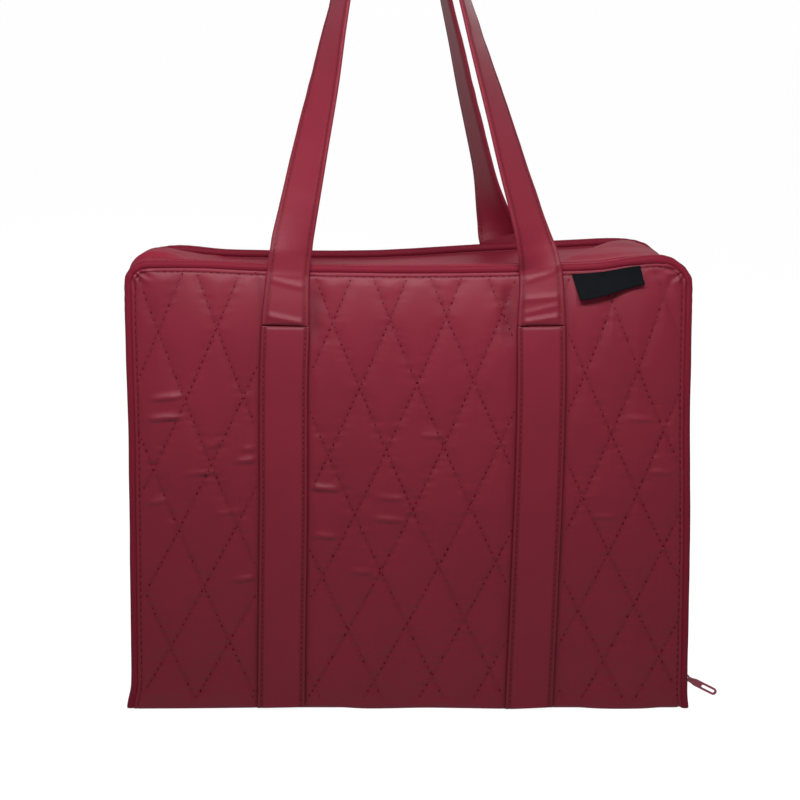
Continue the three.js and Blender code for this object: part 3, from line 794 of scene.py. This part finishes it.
def strip_round_arch(inset, bottom, front_at, back_at, cell, relief):
    """A strip of cloth round the arch. front_at and back_at give its edges' y at a height."""
    length = arch_length(inset, bottom)
    width = back_at(0.1) - front_at(0.1)
    shape = cut_cloth(length, width, cell)
    for vert in shape.verts:
        along = min(max(vert.co.x + length / 2, 0), length)
        share = vert.co.z / width
        x, z, nx, nz = arch_point(inset, bottom, along)
        y = front_at(z) + (back_at(z) - front_at(z)) * share
        out = relief(x, y, z, share)
        vert.co = settle(Vector((x + nx * out, y, z + nz * out)))
    return shape


def behind_front(depth):
    """A line round the bag at some depth behind the front panel's face: it gives its y at a height."""
    return lambda z: -BASE_DEPTH / 2 + depth + LEAN * z


def before_back(depth):
    return lambda z: BASE_DEPTH / 2 - depth - LEAN * z


def top_level(x, z, share):
    """The loose top sags between the zip and the back piping, and a slanting fold lifts its right end."""
    fold_line = 0.086 + 0.057 * share
    lifted = ease(x, fold_line - 0.0035, fold_line + 0.0025)
    sag = 0.0030 * ease(x, -0.150, -0.115) * (1 - lifted)
    ridge = 0.0018 * lifted * (1 - 0.5 * ease(x, fold_line, 0.155))
    return (ridge - sag) * ease(share, 0.07, 0.25) * ease(z, 0.258, 0.268)


def left_corner_bulge(x, z):
    return 0.0055 * near(math.hypot(x + 0.158, z - 0.264), 0.018)


def arched(share):
    """1 in the middle of a strip, falling to 0 at its two edges."""
    return math.sin(math.pi * min(max(share, 0), 1))


def main_gusset_relief(x, y, z, share):
    """Soft hollows of the wide strip, its hem, the sagging top, and a small fold at its left end."""
    loose = ripple(x, y, z, 0.05, 0.0013) + ripple(x * 0.7, y * 1.6, z * 0.7, 0.022, 0.0005)
    hem = 0.0003 * near(share * 0.08, 0.002)
    left_fold = 0
    if z > 0.22 and x < -0.10:
        ridge = -0.150 + 0.030 * share
        left_fold = 0.0012 * near(x - ridge, 0.007) * ease(share, 0.02, 0.3)
    corner_bulge = left_corner_bulge(x, z) * ease(share, -0.05, 0.15) * (1 - ease(share, 0.5, 1))
    return (loose - 0.0004) * arched(share) + hem + left_fold + corner_bulge + top_level(x, z, share)


def front_gusset_relief(x, y, z, share):
    corner_bulge = 0.5 * left_corner_bulge(x, z) * ease(share, 0.1, 1)
    return ripple(x, y, z, 0.03, 0.0005) + 0.0004 * arched(share) + corner_bulge


def lining_strip_relief(x, y, z, share):
    loose = abs(ripple(x, y, z, 0.04, 0.0006)) * arched(share)
    return min(top_level(x, z, 0.1 + 0.9 * share), 0) - loose


GUSSET_SEAM = 0.0053  # how far behind a panel's face the gusset is sewn to it
ZIP_GAP = 0.0055  # from the teeth to the gusset's hem
GUSSET_THICKNESS = 0.0022
LINING_INSET = 0.0033
LINING_SETBACK = 0.0064  # the lining's gap to the back panel and to the floor
LINING_FRONT = 0.0377
FLAP_GUSSET_BOTTOM = 0.0033
main_gusset_shape = strip_round_arch(
    0, 0, behind_front(CHAIN_SETBACK + ZIP_GAP), before_back(GUSSET_SEAM), 0.0020, main_gusset_relief
)
main_gusset = make_piece("main_gusset_cloth", main_gusset_shape, gusset_cotton_painted_sheen, GUSSET_THICKNESS)
fasten(main_gusset, "shell", "plain_fabric", "main_gusset")
front_gusset_shape = strip_round_arch(
    0,
    FLAP_GUSSET_BOTTOM,
    behind_front(GUSSET_SEAM),
    behind_front(CHAIN_SETBACK - ZIP_GAP),
    0.0022,
    front_gusset_relief,
)
front_gusset = make_piece("front_gusset_cloth", front_gusset_shape, gusset_cotton_painted_sheen, GUSSET_THICKNESS)
fasten(front_gusset, "flap", "plain_fabric", "front_gusset")
gusset_lining_shape = strip_round_arch(
    LINING_INSET,
    LINING_SETBACK,
    behind_front(LINING_FRONT),
    before_back(LINING_SETBACK),
    LINING_CELL,
    lining_strip_relief,
)
gusset_lining = make_piece("gusset_lining_cloth", gusset_lining_shape, lining_cotton, 0.0008)
fasten(gusset_lining, "shell", "lining_fabric", "main_gusset_lining")

HEM_ROW = 0.0025  # from a hem's edge to its row of stitches
HEM_PITCH = 0.0036
ROW_MARGIN = 0.004
for body, bottom, row_depth, relief, share in (
    ("shell", 0, CHAIN_SETBACK + ZIP_GAP + HEM_ROW, main_gusset_relief, 0.03),
    ("flap", FLAP_GUSSET_BOTTOM, CHAIN_SETBACK - ZIP_GAP - HEM_ROW, front_gusset_relief, 0.8),
):
    row = []
    along = ROW_MARGIN
    while along < arch_length(0, bottom) - ROW_MARGIN:
        x, z, nx, nz = arch_point(0, bottom, along)
        y = behind_front(row_depth)(z)
        out = relief(x, y, z, share)
        here = settle(Vector((x + nx * out, y, z + nz * out)))
        row.append((here, Vector((nz, 0, -nx)), Vector((nx, 0, nz))))
        along += HEM_PITCH
    fasten(sew(f"zip_hem_stitching_{body}", row, 0.9), body, "plain_fabric")


# The zip: two woven tapes round the arch with moulded teeth that lock between each other. All of
# it is dyed to match the cloth.
zip_tape_weave = woven_cloth("zip_tape_weave", (0.11, 0.012, 0.022), 0.0006, 0.75, 0.15, 0.8)
tooth_resin = tinted_finish("tooth_resin", (0.13, 0.014, 0.025), 0.08, 300, {"Roughness": 0.35})

TAPE_INSET = 0.0033
TAPE_THICKNESS = 0.0007
TAPE_BOTTOM = 0.008
TAPE_WIDTH = 0.012
TAPE_GAP = 0.0014  # from the teeth's middle line to the tape's edge
CHAIN_BOTTOM = 0.019
TOOTH_PITCH = 0.005


def one_tooth():
    """A moulded tooth that points along +Y, with its rounded head over the middle line."""
    shape = bmesh.new()
    bmesh.ops.create_cube(shape, size=1)
    bmesh.ops.scale(shape, vec=(0.002, 0.0035, 0.0018), verts=shape.verts)
    bmesh.ops.bevel(
        shape, geom=shape.edges, offset=0.00045, segments=1, profile=0.5, affect="EDGES", material=-1
    )
    bmesh.ops.translate(shape, vec=(0, -0.00065, 0), verts=shape.verts)
    return shape_to_mesh("tooth", shape)


tooth = one_tooth()
for tape_name, body, side in (("front_zip_tape", "flap", -1), ("rear_zip_tape", "shell", 1)):
    near_edge = CHAIN_SETBACK + side * TAPE_GAP
    front_edge, back_edge = sorted((near_edge, near_edge + side * TAPE_WIDTH))

    def tape_bead(x, y, z, share):
        """The tape's own thick edge beside the teeth."""
        from_teeth = (share if side > 0 else 1 - share) * TAPE_WIDTH
        return 0.00015 * near(from_teeth, 0.001)

    tape_shape = strip_round_arch(
        TAPE_INSET, TAPE_BOTTOM, behind_front(front_edge), behind_front(back_edge), 0.002, tape_bead
    )
    tape = make_piece(f"{tape_name}_cloth", tape_shape, zip_tape_weave, TAPE_THICKNESS)
    fasten(tape, body, "zip_tape", tape_name)

    teeth_shape = bmesh.new()
    middle_inset = TAPE_INSET + TAPE_THICKNESS / 2
    length = arch_length(middle_inset, CHAIN_BOTTOM)
    along = 0 if side < 0 else TOOTH_PITCH / 2
    while along <= length:
        x, z, nx, nz = arch_point(middle_inset, CHAIN_BOTTOM, length - along)
        root = settle(Vector((x, behind_front(CHAIN_SETBACK)(z), z)))
        out = Vector((nx, 0, nz))
        head = Vector((0, -side, 0))
        turned = Matrix((head.cross(out), head, out)).transposed().to_4x4()
        placed = tooth.copy()
        placed.transform(Matrix.Translation(root) @ turned)
        teeth_shape.from_mesh(placed)
        bpy.data.meshes.remove(placed)
        along += TOOTH_PITCH
    fasten(make_piece(f"{tape_name}_teeth", teeth_shape, tooth_resin), body, "zip_tape")


# The zip's metal: a stop at each end, the slider, its wire link and the long slotted tab. They
# are die castings with burgundy enamel, rounded at every edge.
burgundy_enamel = tinted_finish(
    "burgundy_enamel",
    (0.15, 0.004, 0.026),
    0.1,
    260,
    {"Metallic": 0.1, "Coat Weight": 0.12, "Coat Roughness": 0.2},
)
enamel_tree = burgundy_enamel.node_tree
enamel_place = read_place(enamel_tree, "Object")
enamel_spots = add_node(enamel_tree, "TexNoise", {"Scale": 900}, {"Vector": enamel_place})
enamel_gloss = add_node(
    enamel_tree, "MapRange", {"To Min": 0.22, "To Max": 0.42}, {"Value": enamel_spots.outputs["Fac"]}
)
feed(burgundy_enamel, "Roughness", enamel_gloss.outputs["Result"])


def rounded_copy(node, name, rounding):
    """The same casting with its sharp edges rounded, where the tape that holds it comes to rest."""
    shape = bmesh.new()
    shape.from_mesh(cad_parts[node].data)
    low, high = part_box(node)
    middle = (Vector(low) + Vector(high)) / 2
    bmesh.ops.translate(shape, vec=settle(middle) - middle, verts=shape.verts)
    bmesh.ops.remove_doubles(shape, verts=shape.verts, dist=2e-6)
    bmesh.ops.dissolve_limit(
        shape, angle_limit=math.radians(3), verts=shape.verts, edges=shape.edges, delimit=set()
    )
    sharp = [
        edge
        for edge in shape.edges
        if len(edge.link_faces) == 2 and edge.calc_face_angle() > math.radians(40)
    ]
    bmesh.ops.bevel(
        shape,
        geom=sharp,
        offset=rounding,
        offset_type="OFFSET",
        segments=2,
        profile=0.5,
        affect="EDGES",
        clamp_overlap=True,
        material=-1,
    )
    bmesh.ops.recalc_face_normals(shape, faces=shape.faces)
    piece = make_piece(name, shape, burgundy_enamel)
    for face in piece.data.polygons:
        face.use_smooth = len(face.vertices) < 5 and face.area < 2e-6
    return piece


for node, name, body, rounding in (
    ("zip_end_stop_left", "left_end_stop", "shell", 0.0002),
    ("zip_end_stop_right", "right_end_stop", "shell", 0.0002),
    ("zip_slider", "slider_casting", "slider", 0.0002),
    ("zip_pull_link", "pull_wire", "pull_link", 0.00028),
    ("zip_pull_tab", "pull_tab_casting", "pull_tab", 0.00025),
):
    casting = rounded_copy(node, name, rounding)
    fasten(casting, body, "zip_metal", node)


# The piping: a cord wrapped in the outer cloth and caught in the seam round each panel. It gathers
# a little at the corners, and its lower ends flare where they are turned under.
piping_cotton = woven_cloth("piping_cotton", (0.088, 0.0040, 0.0114), 0.0004, 0.65, 0.07, 0.25)
PIPING_RADIUS = 0.0025


def lengths_along(points):
    """How far each point of a line is from the first, measured along the line."""
    lengths = [0]
    for a, b in zip(points, points[1:]):
        lengths.append(lengths[-1] + math.dist(a, b))
    return lengths


def roll_up(section, steps, place, drawn=lambda share, a, b: 0):
    """A closed tube or band: a grid rolled round its section, which is a list of points.
    place(share, a, b) puts the point a, b of the section at a share of the way along, and
    drawn(share, a, b) says how much painted shade darkens it there, along seams and rows of stitches."""
    around = len(section)
    shape = bmesh.new()
    threads = shape.loops.layers.uv.new("UVMap")
    # a layer of painted shade for the cloth's material
    painted_shade_layer = shape.verts.layers.float.new("painted_seam_shade")
    bmesh.ops.create_grid(shape, x_segments=steps, y_segments=around, size=0.5)
    flat = {vert: (vert.co.x + 0.5, round((vert.co.y + 0.5) * around)) for vert in shape.verts}
    length = lengths_along([place(share / 20, 0, 0) for share in range(21)])[-1]
    girth = lengths_along(section + section[:1])[-1]
    for face in shape.faces:
        for loop in face.loops:
            share, turn = flat[loop.vert]
            loop[threads].uv = (turn / around * girth, share * length)
    for vert, (share, turn) in flat.items():
        a, b = section[turn % around]
        vert.co = place(share, a, b)
        vert[painted_shade_layer] = drawn(share, a, b)
    bmesh.ops.remove_doubles(shape, verts=shape.verts, dist=1e-7)
    open_ends = [edge for edge in shape.edges if edge.is_boundary]
    bmesh.ops.holes_fill(shape, edges=open_ends, sides=0)
    bmesh.ops.recalc_face_normals(shape, faces=shape.faces)
    return shape


CORD_SIDES = 14
CORD_STEPS = 560
CORD_INSET = 0.0005
CORD_BOTTOM = 0.0008
cord_turns = [2 * math.pi * k / CORD_SIDES for k in range(CORD_SIDES)]
cord_section = [(PIPING_RADIUS * math.cos(turn), PIPING_RADIUS * math.sin(turn)) for turn in cord_turns]
cord_length = arch_length(CORD_INSET, CORD_BOTTOM)
corner_place = BAG_HEIGHT - CORD_BOTTOM - CORNER_RADIUS / 4
for panel in ("front", "back"):

    def piping_point(share, a, b):
        along = min(max(share * cord_length, 0), cord_length)
        x, z, nx, nz = arch_point(CORD_INSET, CORD_BOTTOM, along)
        corner = abs(min(along, cord_length - along) - corner_place)
        gather = 0.06 * near(corner, 0.02) * math.sin(along / 0.0010)
        fuller = (0.12 + 0.16 * near(x - 0.143, 0.016)) * max(nz, 0)
        swell = 1 + gather + fuller + ripple(x, 0.2, z, 0.02, 0.07)
        out = a * swell
        at = Vector((x + ear_flare(x, z) + nx * out, PIPING_RADIUS + b * swell + LEAN * z, z + nz * out))
        return settle(panel_place[panel] @ at)

    piping_shape = roll_up(cord_section, CORD_STEPS, piping_point)
    piping = make_piece(f"{panel}_piping_cord", piping_shape, piping_cotton)
    fasten(piping, panel_body[panel], "plain_fabric", f"{panel}_piping")


# The strap bands: folded strips of the outer cloth, sewn flat to each panel from the floor up to
# the handles with a row of stitches inside each edge.
BAND_THICKNESS = 0.0023
SEAM_HEIGHT = 0.234
STRAP_ROW = 0.0026  # from a strap's edge to its row of stitches
STRAP_GAP = 0.0003  # under a strap
ROW_SINK = 0.00045  # how deep a row of stitches sits in the strap's face


def hemmed_section(width, thickness, groove):
    """A folded strap seen from its end, all the way round: a is across it, b is out of its face."""
    rounding = thickness * 0.45
    shoulder = thickness / 2 - 0.0002
    flat = width / 2 - rounding
    steps = 26
    points = []
    for a in (-flat + 2 * flat * k / steps for k in range(steps + 1)):
        edge_fold = 0.00012 * near(width / 2 - 0.0015 - abs(a), 0.0009)
        pillow = 0.0002 * (1 - (a / flat) ** 4)
        sunk_row = groove * near(width / 2 - STRAP_ROW - abs(a), 0.0007)
        points.append((a, shoulder - sunk_row + edge_fold + pillow))

    def round_edge(side, angles):
        turns = [math.radians(angle) for angle in angles]
        return [(side * flat + rounding * math.cos(turn), shoulder * math.sin(turn)) for turn in turns]

    points += round_edge(1, (45, 0, -45))
    points += [(flat - 2 * flat * k / 4, -thickness / 2) for k in range(5)]
    return points + round_edge(-1, (225, 180, 135))


def beside_row(width, a):
    """1 on a strap's two rows of stitches, falling to 0 beside them."""
    return near(width / 2 - STRAP_ROW - abs(a), 0.0009)


def between_rows(width, a):
    return 1 - ease(abs(a), width / 2 - STRAP_ROW - 0.0018, width / 2 - STRAP_ROW)


band_section = hemmed_section(BAND_WIDTH, BAND_THICKNESS, 0.00042)
BAND_BOTTOM = 0.0010
BAND_LENGTH = SEAM_HEIGHT + 0.0001 - BAND_BOTTOM
BAND_STEPS = 300
BAND_PITCH = 0.0033
for panel in ("front", "back"):
    row_stitches = []
    for side in (-1, 1):
        middle = side * STRAP_SPACING / 2

        def from_top(share):
            """1 at the band's top edge, where the handle's end is sewn over it, and 0 just below."""
            return near((1 - share) * BAND_LENGTH, 0.0010)

        def band_point(share, a, b):
            z = BAND_BOTTOM + BAND_LENGTH * share
            wander = strap_drift(side, z) + ripple(side, 0.4, z, 0.06, 0.0003)
            uneven = 0
            if b > 0:
                uneven = ripple(a * 0.6, side, z, 0.012, 0.00012)
                uneven -= 0.0010 * from_top(share) * between_rows(BAND_WIDTH, a)
            lift = BAND_THICKNESS / 2 + STRAP_GAP
            return panel_point(panel, middle + a + wander, lift + b + uneven, z)

        # painted shade: the rows of stitches and the cross seam at the top are darkened, and the band's
        # underside and edges everywhere, standing for their shadow
        def band_painted_shade(share, a, b):
            rows = 0.8 * beside_row(BAND_WIDTH, a)
            return max(rows, from_top(share) * between_rows(BAND_WIDTH, a)) if b > 0.0009 else 0.8

        band_shape = roll_up(band_section, BAND_STEPS, band_point, band_painted_shade)
        hand = "right" if (side > 0) == (panel == "front") else "left"
        band = make_piece(f"{panel}_band_{hand}", band_shape, plain_cotton)
        fasten(band, panel_body[panel], "plain_fabric", f"{panel}_strap_band_{hand}")
        for row_side in (-1, 1):
            a = row_side * (BAND_WIDTH / 2 - STRAP_ROW)
            b = BAND_THICKNESS / 2 - ROW_SINK
            up = 0.003
            while up < BAND_LENGTH - 0.001:
                here = band_point(up / BAND_LENGTH, a, b)
                ahead = band_point(up / BAND_LENGTH + 0.01, a, b)
                row_stitches.append((here, ahead - here, panel_outwards(panel)))
                up += BAND_PITCH
    fasten(sew(f"{panel}_band_stitching", row_stitches), panel_body[panel], "plain_fabric")


# The two long handles: the same folded strap, with its ends sewn down over the bands. Each leg
# turns edgewise on its way up, so that the strap lies flat over the shoulder at the top.
HANDLE_WIDTH = 0.025
HANDLE_THICKNESS = 0.0025
HANDLE_TOP = BAG_HEIGHT + 0.206
ARCH_RADIUS = 0.031
HANDLE_BEND = BAG_HEIGHT + 0.010
HANDLE_LEAN = 0.08  # how fast it leans back above its bend
HANDLE_FLAT = 0.042  # the length of its foot that isn't twisted
HANDLE_BOTTOM = SEAM_HEIGHT + STRAP_GAP


def handle_line(spread, shift, tilt):
    """The handle's middle line seen from the front, as close points from its right-hand end to its left.
    spread is between its legs where they bend, and the whole arch is shifted and tilted sideways."""
    half = spread / 2
    centre = HANDLE_TOP - ARCH_RADIUS
    rise = centre - HANDLE_BEND
    lean = math.atan2(half, rise) - math.asin(ARCH_RADIUS / math.hypot(half, rise))
    pull = (HANDLE_BEND - HANDLE_BOTTOM) / 3

    def lower_leg(side):
        start = Vector((side * STRAP_SPACING / 2, HANDLE_BOTTOM))
        end = Vector((shift + side * half, HANDLE_BEND))
        first = start + Vector((0, pull))
        second = end + pull * Vector((side * math.sin(lean), -math.cos(lean)))
        points = []
        for k in range(31):
            t = k / 30
            u = 1 - t
            points.append(start * u ** 3 + first * 3 * t * u ** 2 + second * 3 * t * t * u + end * t ** 3)
        return points

    def straight(a, b):
        return [a.lerp(b, k / 60) for k in range(1, 60)]

    arch = []
    for k in range(61):
        angle = lean + (math.pi - 2 * lean) * k / 60
        arch.append(
            Vector((shift + ARCH_RADIUS * math.cos(angle), centre + ARCH_RADIUS * math.sin(angle)))
        )
    right, left = lower_leg(1), lower_leg(-1)
    line = right + straight(right[-1], arch[0]) + arch + straight(arch[-1], left[-1]) + left[::-1]
    for at in line:
        at.x += strap_drift(at.x, at.y) - tilt * max(0, at.y - HANDLE_BEND)
    return line


def handle_depth(z):
    """How far the strap's middle is behind the panel's outer face at the floor."""
    on_panel = panel_crown(STRAP_SPACING / 2, min(z, ROLL_START + crown_roll))
    leaning = LEAN * z + HANDLE_LEAN * max(0, z - HANDLE_BEND)
    return leaning - STRAP_GAP - HANDLE_THICKNESS / 2 - on_panel


def handle_places(line, steps, twists, run):
    """Evenly spaced places along a handle: middle, along, out of the strap's face, way from the nearer
    end. The right and the left leg turn by their twists in a short run above the flat foot, each
    beginning a little lower, and the rest of the quarter turn is spread over the way up."""
    lengths = lengths_along(line)
    whole = lengths[-1]
    places = []
    k = 0
    for step in range(steps + 1):
        target = whole * step / steps
        while k < len(line) - 2 and lengths[k + 1] < target:
            k += 1
        t = (target - lengths[k]) / (lengths[k + 1] - lengths[k])
        at = line[k].lerp(line[k + 1], min(max(t, 0), 1))
        way = (line[min(k + 2, len(line) - 1)] - line[max(k - 1, 0)]).normalized()
        depth_rise = (handle_depth(at.y + 0.001) - handle_depth(at.y)) / 0.001 * way.y
        along = Vector((way.x, depth_rise, way.y)).normalized()
        from_end = min(target, whole - target)
        twist, lower = twists[target > whole / 2]
        free = max(0, from_end - HANDLE_FLAT + lower)
        share_up = free / (whole / 2 - HANDLE_FLAT)
        first = 1 - (1 - min(free / run, 1)) ** 2
        turn = math.radians(twist * first + (90 - twist) * share_up)
        face = Vector((way.y * math.sin(turn), -math.cos(turn), -way.x * math.sin(turn)))
        face = (face - along * face.dot(along)).normalized()
        places.append((Vector((at.x, handle_depth(at.y), at.y)), along, face, from_end))
    return places


def settle_foot(point):
    """The strap's foot goes up and down with the panel under it, and less and less above the seam."""
    x, y, z = point
    moved = settle(Vector((x, y, min(z, BAG_HEIGHT)))) - Vector((x, y, min(z, BAG_HEIGHT)))
    return point + moved * (1 - ease(z, BAG_HEIGHT, BAG_HEIGHT + 0.04))


handle_section = hemmed_section(HANDLE_WIDTH, HANDLE_THICKNESS, 0.0004)
HANDLE_STEPS = 660
STITCH_STEPS = 4

# Small folds across the left foot and the right foot: way from the end, slope, and height
foot_folds = (
    ((0.0245, 0.15, 0.0005), (0.0300, -0.05, 0.0003)),
    ((0.0095, 0.25, 0.0005), (0.0160, 0.08, 0.0006), (0.0290, 0.25, 0.0005)),
)

# The legs' spread, the arch's shift and tilt, each leg's twist in degrees with how much lower it
# begins, and the run that it takes
for panel, spread, shift, tilt, twists, run, body in (
    ("front", 0.146, 0.002, 0.045, ((29, 0.008), (11, 0.0)), 0.030, "front_handle"),
    ("back", 0.1315, 0.0048, -0.03, ((56, 0.0), (56, 0.0)), 0.055, "back_handle"),
):
    places = handle_places(handle_line(spread, shift, tilt), HANDLE_STEPS, twists, run)

    def handle_point(share, a, b):
        middle, along, face, from_end = places[round(share * HANDLE_STEPS)]
        across = face.cross(along)
        widen = 1 + 0.14 * (1 - ease(from_end, -0.01, 0.045))
        bulge = 0
        if b > 0:
            # the fold behind the cross seam, and the smaller ones above it
            bulge = 0.0010 * near(from_end - 0.0036 + 0.16 * a, 0.0018)
            for fold_at, fold_slope, height in foot_folds[middle.x > 0]:
                bulge += height * near(from_end - fold_at + fold_slope * a, 0.0018)
            bulge -= 0.0008 * near(from_end, 0.0008)
            bulge *= between_rows(HANDLE_WIDTH, a)
            bulge += ripple(a * 0.5, share * 40, 0.2, 0.8, 0.0003)
        wave = ripple(middle.x, middle.z, 0.3, 0.05, 0.0006) * ease(from_end, 0.02, 0.06)
        local = middle + across * (a * widen) + face * (b + bulge + wave)
        return settle_foot(panel_place[panel] @ local)

    # painted shade: the rows of stitches and the cross seam at the handle's ends are darkened, standing for
    # their shadow
    def handle_painted_shade(share, a, b):
        from_end = places[round(share * HANDLE_STEPS)][3]
        seam = between_rows(HANDLE_WIDTH, a) * near(from_end, 0.0010)
        rows = 0.8 * beside_row(HANDLE_WIDTH, a)
        return max(rows, seam) if b > 0 else rows

    handle_shape = roll_up(handle_section, HANDLE_STEPS, handle_point, handle_painted_shade)
    handle = make_piece(f"{panel}_handle", handle_shape, plain_cotton)
    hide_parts(f"{panel}_handle_strap")
    row_stitches = []
    for row_side in (-1, 1):
        for face_side in (-1, 1):
            a = row_side * (HANDLE_WIDTH / 2 - STRAP_ROW)
            b = HANDLE_THICKNESS / 2 - 0.0005 if face_side > 0 else -HANDLE_THICKNESS / 2 - 0.0001
            for step in range(STITCH_STEPS, HANDLE_STEPS - STITCH_STEPS, STITCH_STEPS):
                here = handle_point(step / HANDLE_STEPS, a, b)
                ahead = handle_point((step + 1) / HANDLE_STEPS, a, b)
                out = panel_place[panel].to_3x3() @ (places[step][2] * face_side)
                row_stitches.append((here, ahead - here, out))
    handle_stitching = sew(f"{panel}_handle_stitching", row_stitches, 0.85)
    for soft in (handle, handle_stitching):
        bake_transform(soft)


# The loop label: black damask ribbon folded double and caught in the top seam of the front panel.
# It is bare, and its folded lower edge stands off the panel.
black_ribbon = tinted_finish(
    "black_ribbon", (0.0012, 0.0018, 0.0026), 0.2, 120, {"Roughness": 0.6, "Specular IOR Level": 0.03}
)
ribbon_tree = black_ribbon.node_tree
ribbon_bump = add_node(
    ribbon_tree,
    "Bump",
    {"Strength": 0.5, "Distance": 0.0001},
    {"Height": thread_waves(ribbon_tree, "Y", 0.0004, 0)},
)
feed(black_ribbon, "Normal", ribbon_bump.outputs["Normal"])

# its four corners on the panel, the two at the seam first, each pair from left to right
label_corners = (
    (Vector((0.0956, 0.2642)), Vector((0.1368, 0.2650))),
    (Vector((0.1000, 0.2492)), Vector((0.1394, 0.2543))),
)
HALF_RIBBON = 0.00045
fold_turns = [math.radians(angle) for angle in (60, 0, -60)]
label_section = [(k / 12, HALF_RIBBON) for k in range(13)]
label_section += [(1 + 0.03 * math.cos(turn), HALF_RIBBON * math.sin(turn)) for turn in fold_turns]
label_section += [(1 - k / 12, -HALF_RIBBON) for k in range(13)]


def label_point(share, fall, b):
    """fall goes from 0 at the seam to 1 at the fold."""
    at_seam, at_fold = [left.lerp(right, share) for left, right in label_corners]
    at = at_seam.lerp(at_fold, fall)
    lifted = 0.0024 * fall * fall * (1 + 0.5 * math.sin(share * 5 + 0.6))
    return panel_point("front", at.x, 0.0012 + lifted + b * (1 + fall), at.y)


loop_label = make_piece("bare_loop_label", roll_up(label_section, 40, label_point), black_ribbon)
fasten(loop_label, "flap", "label_weave", "loop_label")


# The cloth at the flap's fold: outside, the panel's own cloth runs on under the base; inside, a
# pleat of lining joins the flap to the base.
def fold_strip(name, profile, half_width, material):
    """A strip along the fold, from a profile of points in y and z. It starts to bend at the first."""
    lengths = lengths_along(profile)
    run = lengths[-1]
    shape = cut_cloth(2 * half_width, run, run / 10)
    for vert in shape.verts:
        x, way = vert.co.x, vert.co.z
        k = max(i for i in range(len(profile) - 1) if lengths[i] <= way + 1e-9)
        share = (way - lengths[k]) / (lengths[k + 1] - lengths[k])
        y, z = Vector(profile[k]).lerp(Vector(profile[k + 1]), share)
        vert.co = (x, y, z)
    strip = make_piece(name, shape, material, 0.0005)
    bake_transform(strip)


inner_pleat = [
    (-0.0545, 0.0066), (-0.0560, 0.0070), (-0.0570, 0.0082), (-0.0575, 0.0096), (-0.0580, 0.0112),
    (-0.0582, 0.0130),
]
outer_turn = [(-0.0560, 0.0006), (-0.0600, 0.0005), (-0.0625, 0.0006), (-0.0638, 0.0012), (-0.0645, 0.0024)]
fold_strip("inner_fold_pleat", inner_pleat, 0.160, lining_cotton)
fold_strip("outer_fold_turn", outer_turn, 0.162, plain_cotton)


# Two small tabs of the outer cloth, turned in all round and sewn over the base's edge, close the
# gap below each end of the zip. They stay with the shell when the flap opens.
END_TAB_WIDTH = 0.0112
END_TAB_ROUNDING = 0.0009
END_TAB_THICKNESS = 0.0008
END_TAB_BOTTOM = 0.0004
tab_middle = -BASE_DEPTH / 2 + CHAIN_SETBACK + 0.0004
tab_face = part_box("base_board")[1].x + 0.0016
for hand, side in (("left", -1), ("right", 1)):
    tab_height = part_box(f"zip_end_stop_{hand}")[0].z - 0.0007
    tab_shape = cut_cloth(END_TAB_WIDTH, tab_height, 0.0004)
    for vert in tab_shape.verts:
        u, z = vert.co.x, vert.co.z
        to_rim = min(END_TAB_WIDTH / 2 - abs(u), z, tab_height - z)
        turned_in = 0.0007 * (1 - ease(to_rim, 0, END_TAB_ROUNDING))
        hem = 0.0002 * near(to_rim - 0.0018, 0.0004)
        out = tab_face - turned_in - hem
        vert.co = (side * out, tab_middle + side * u, z + END_TAB_BOTTOM)
    end_tab = make_piece(f"{hand}_zip_end_tab", tab_shape, plain_cotton, END_TAB_THICKNESS)
    fasten(end_tab, "shell", "plain_fabric")
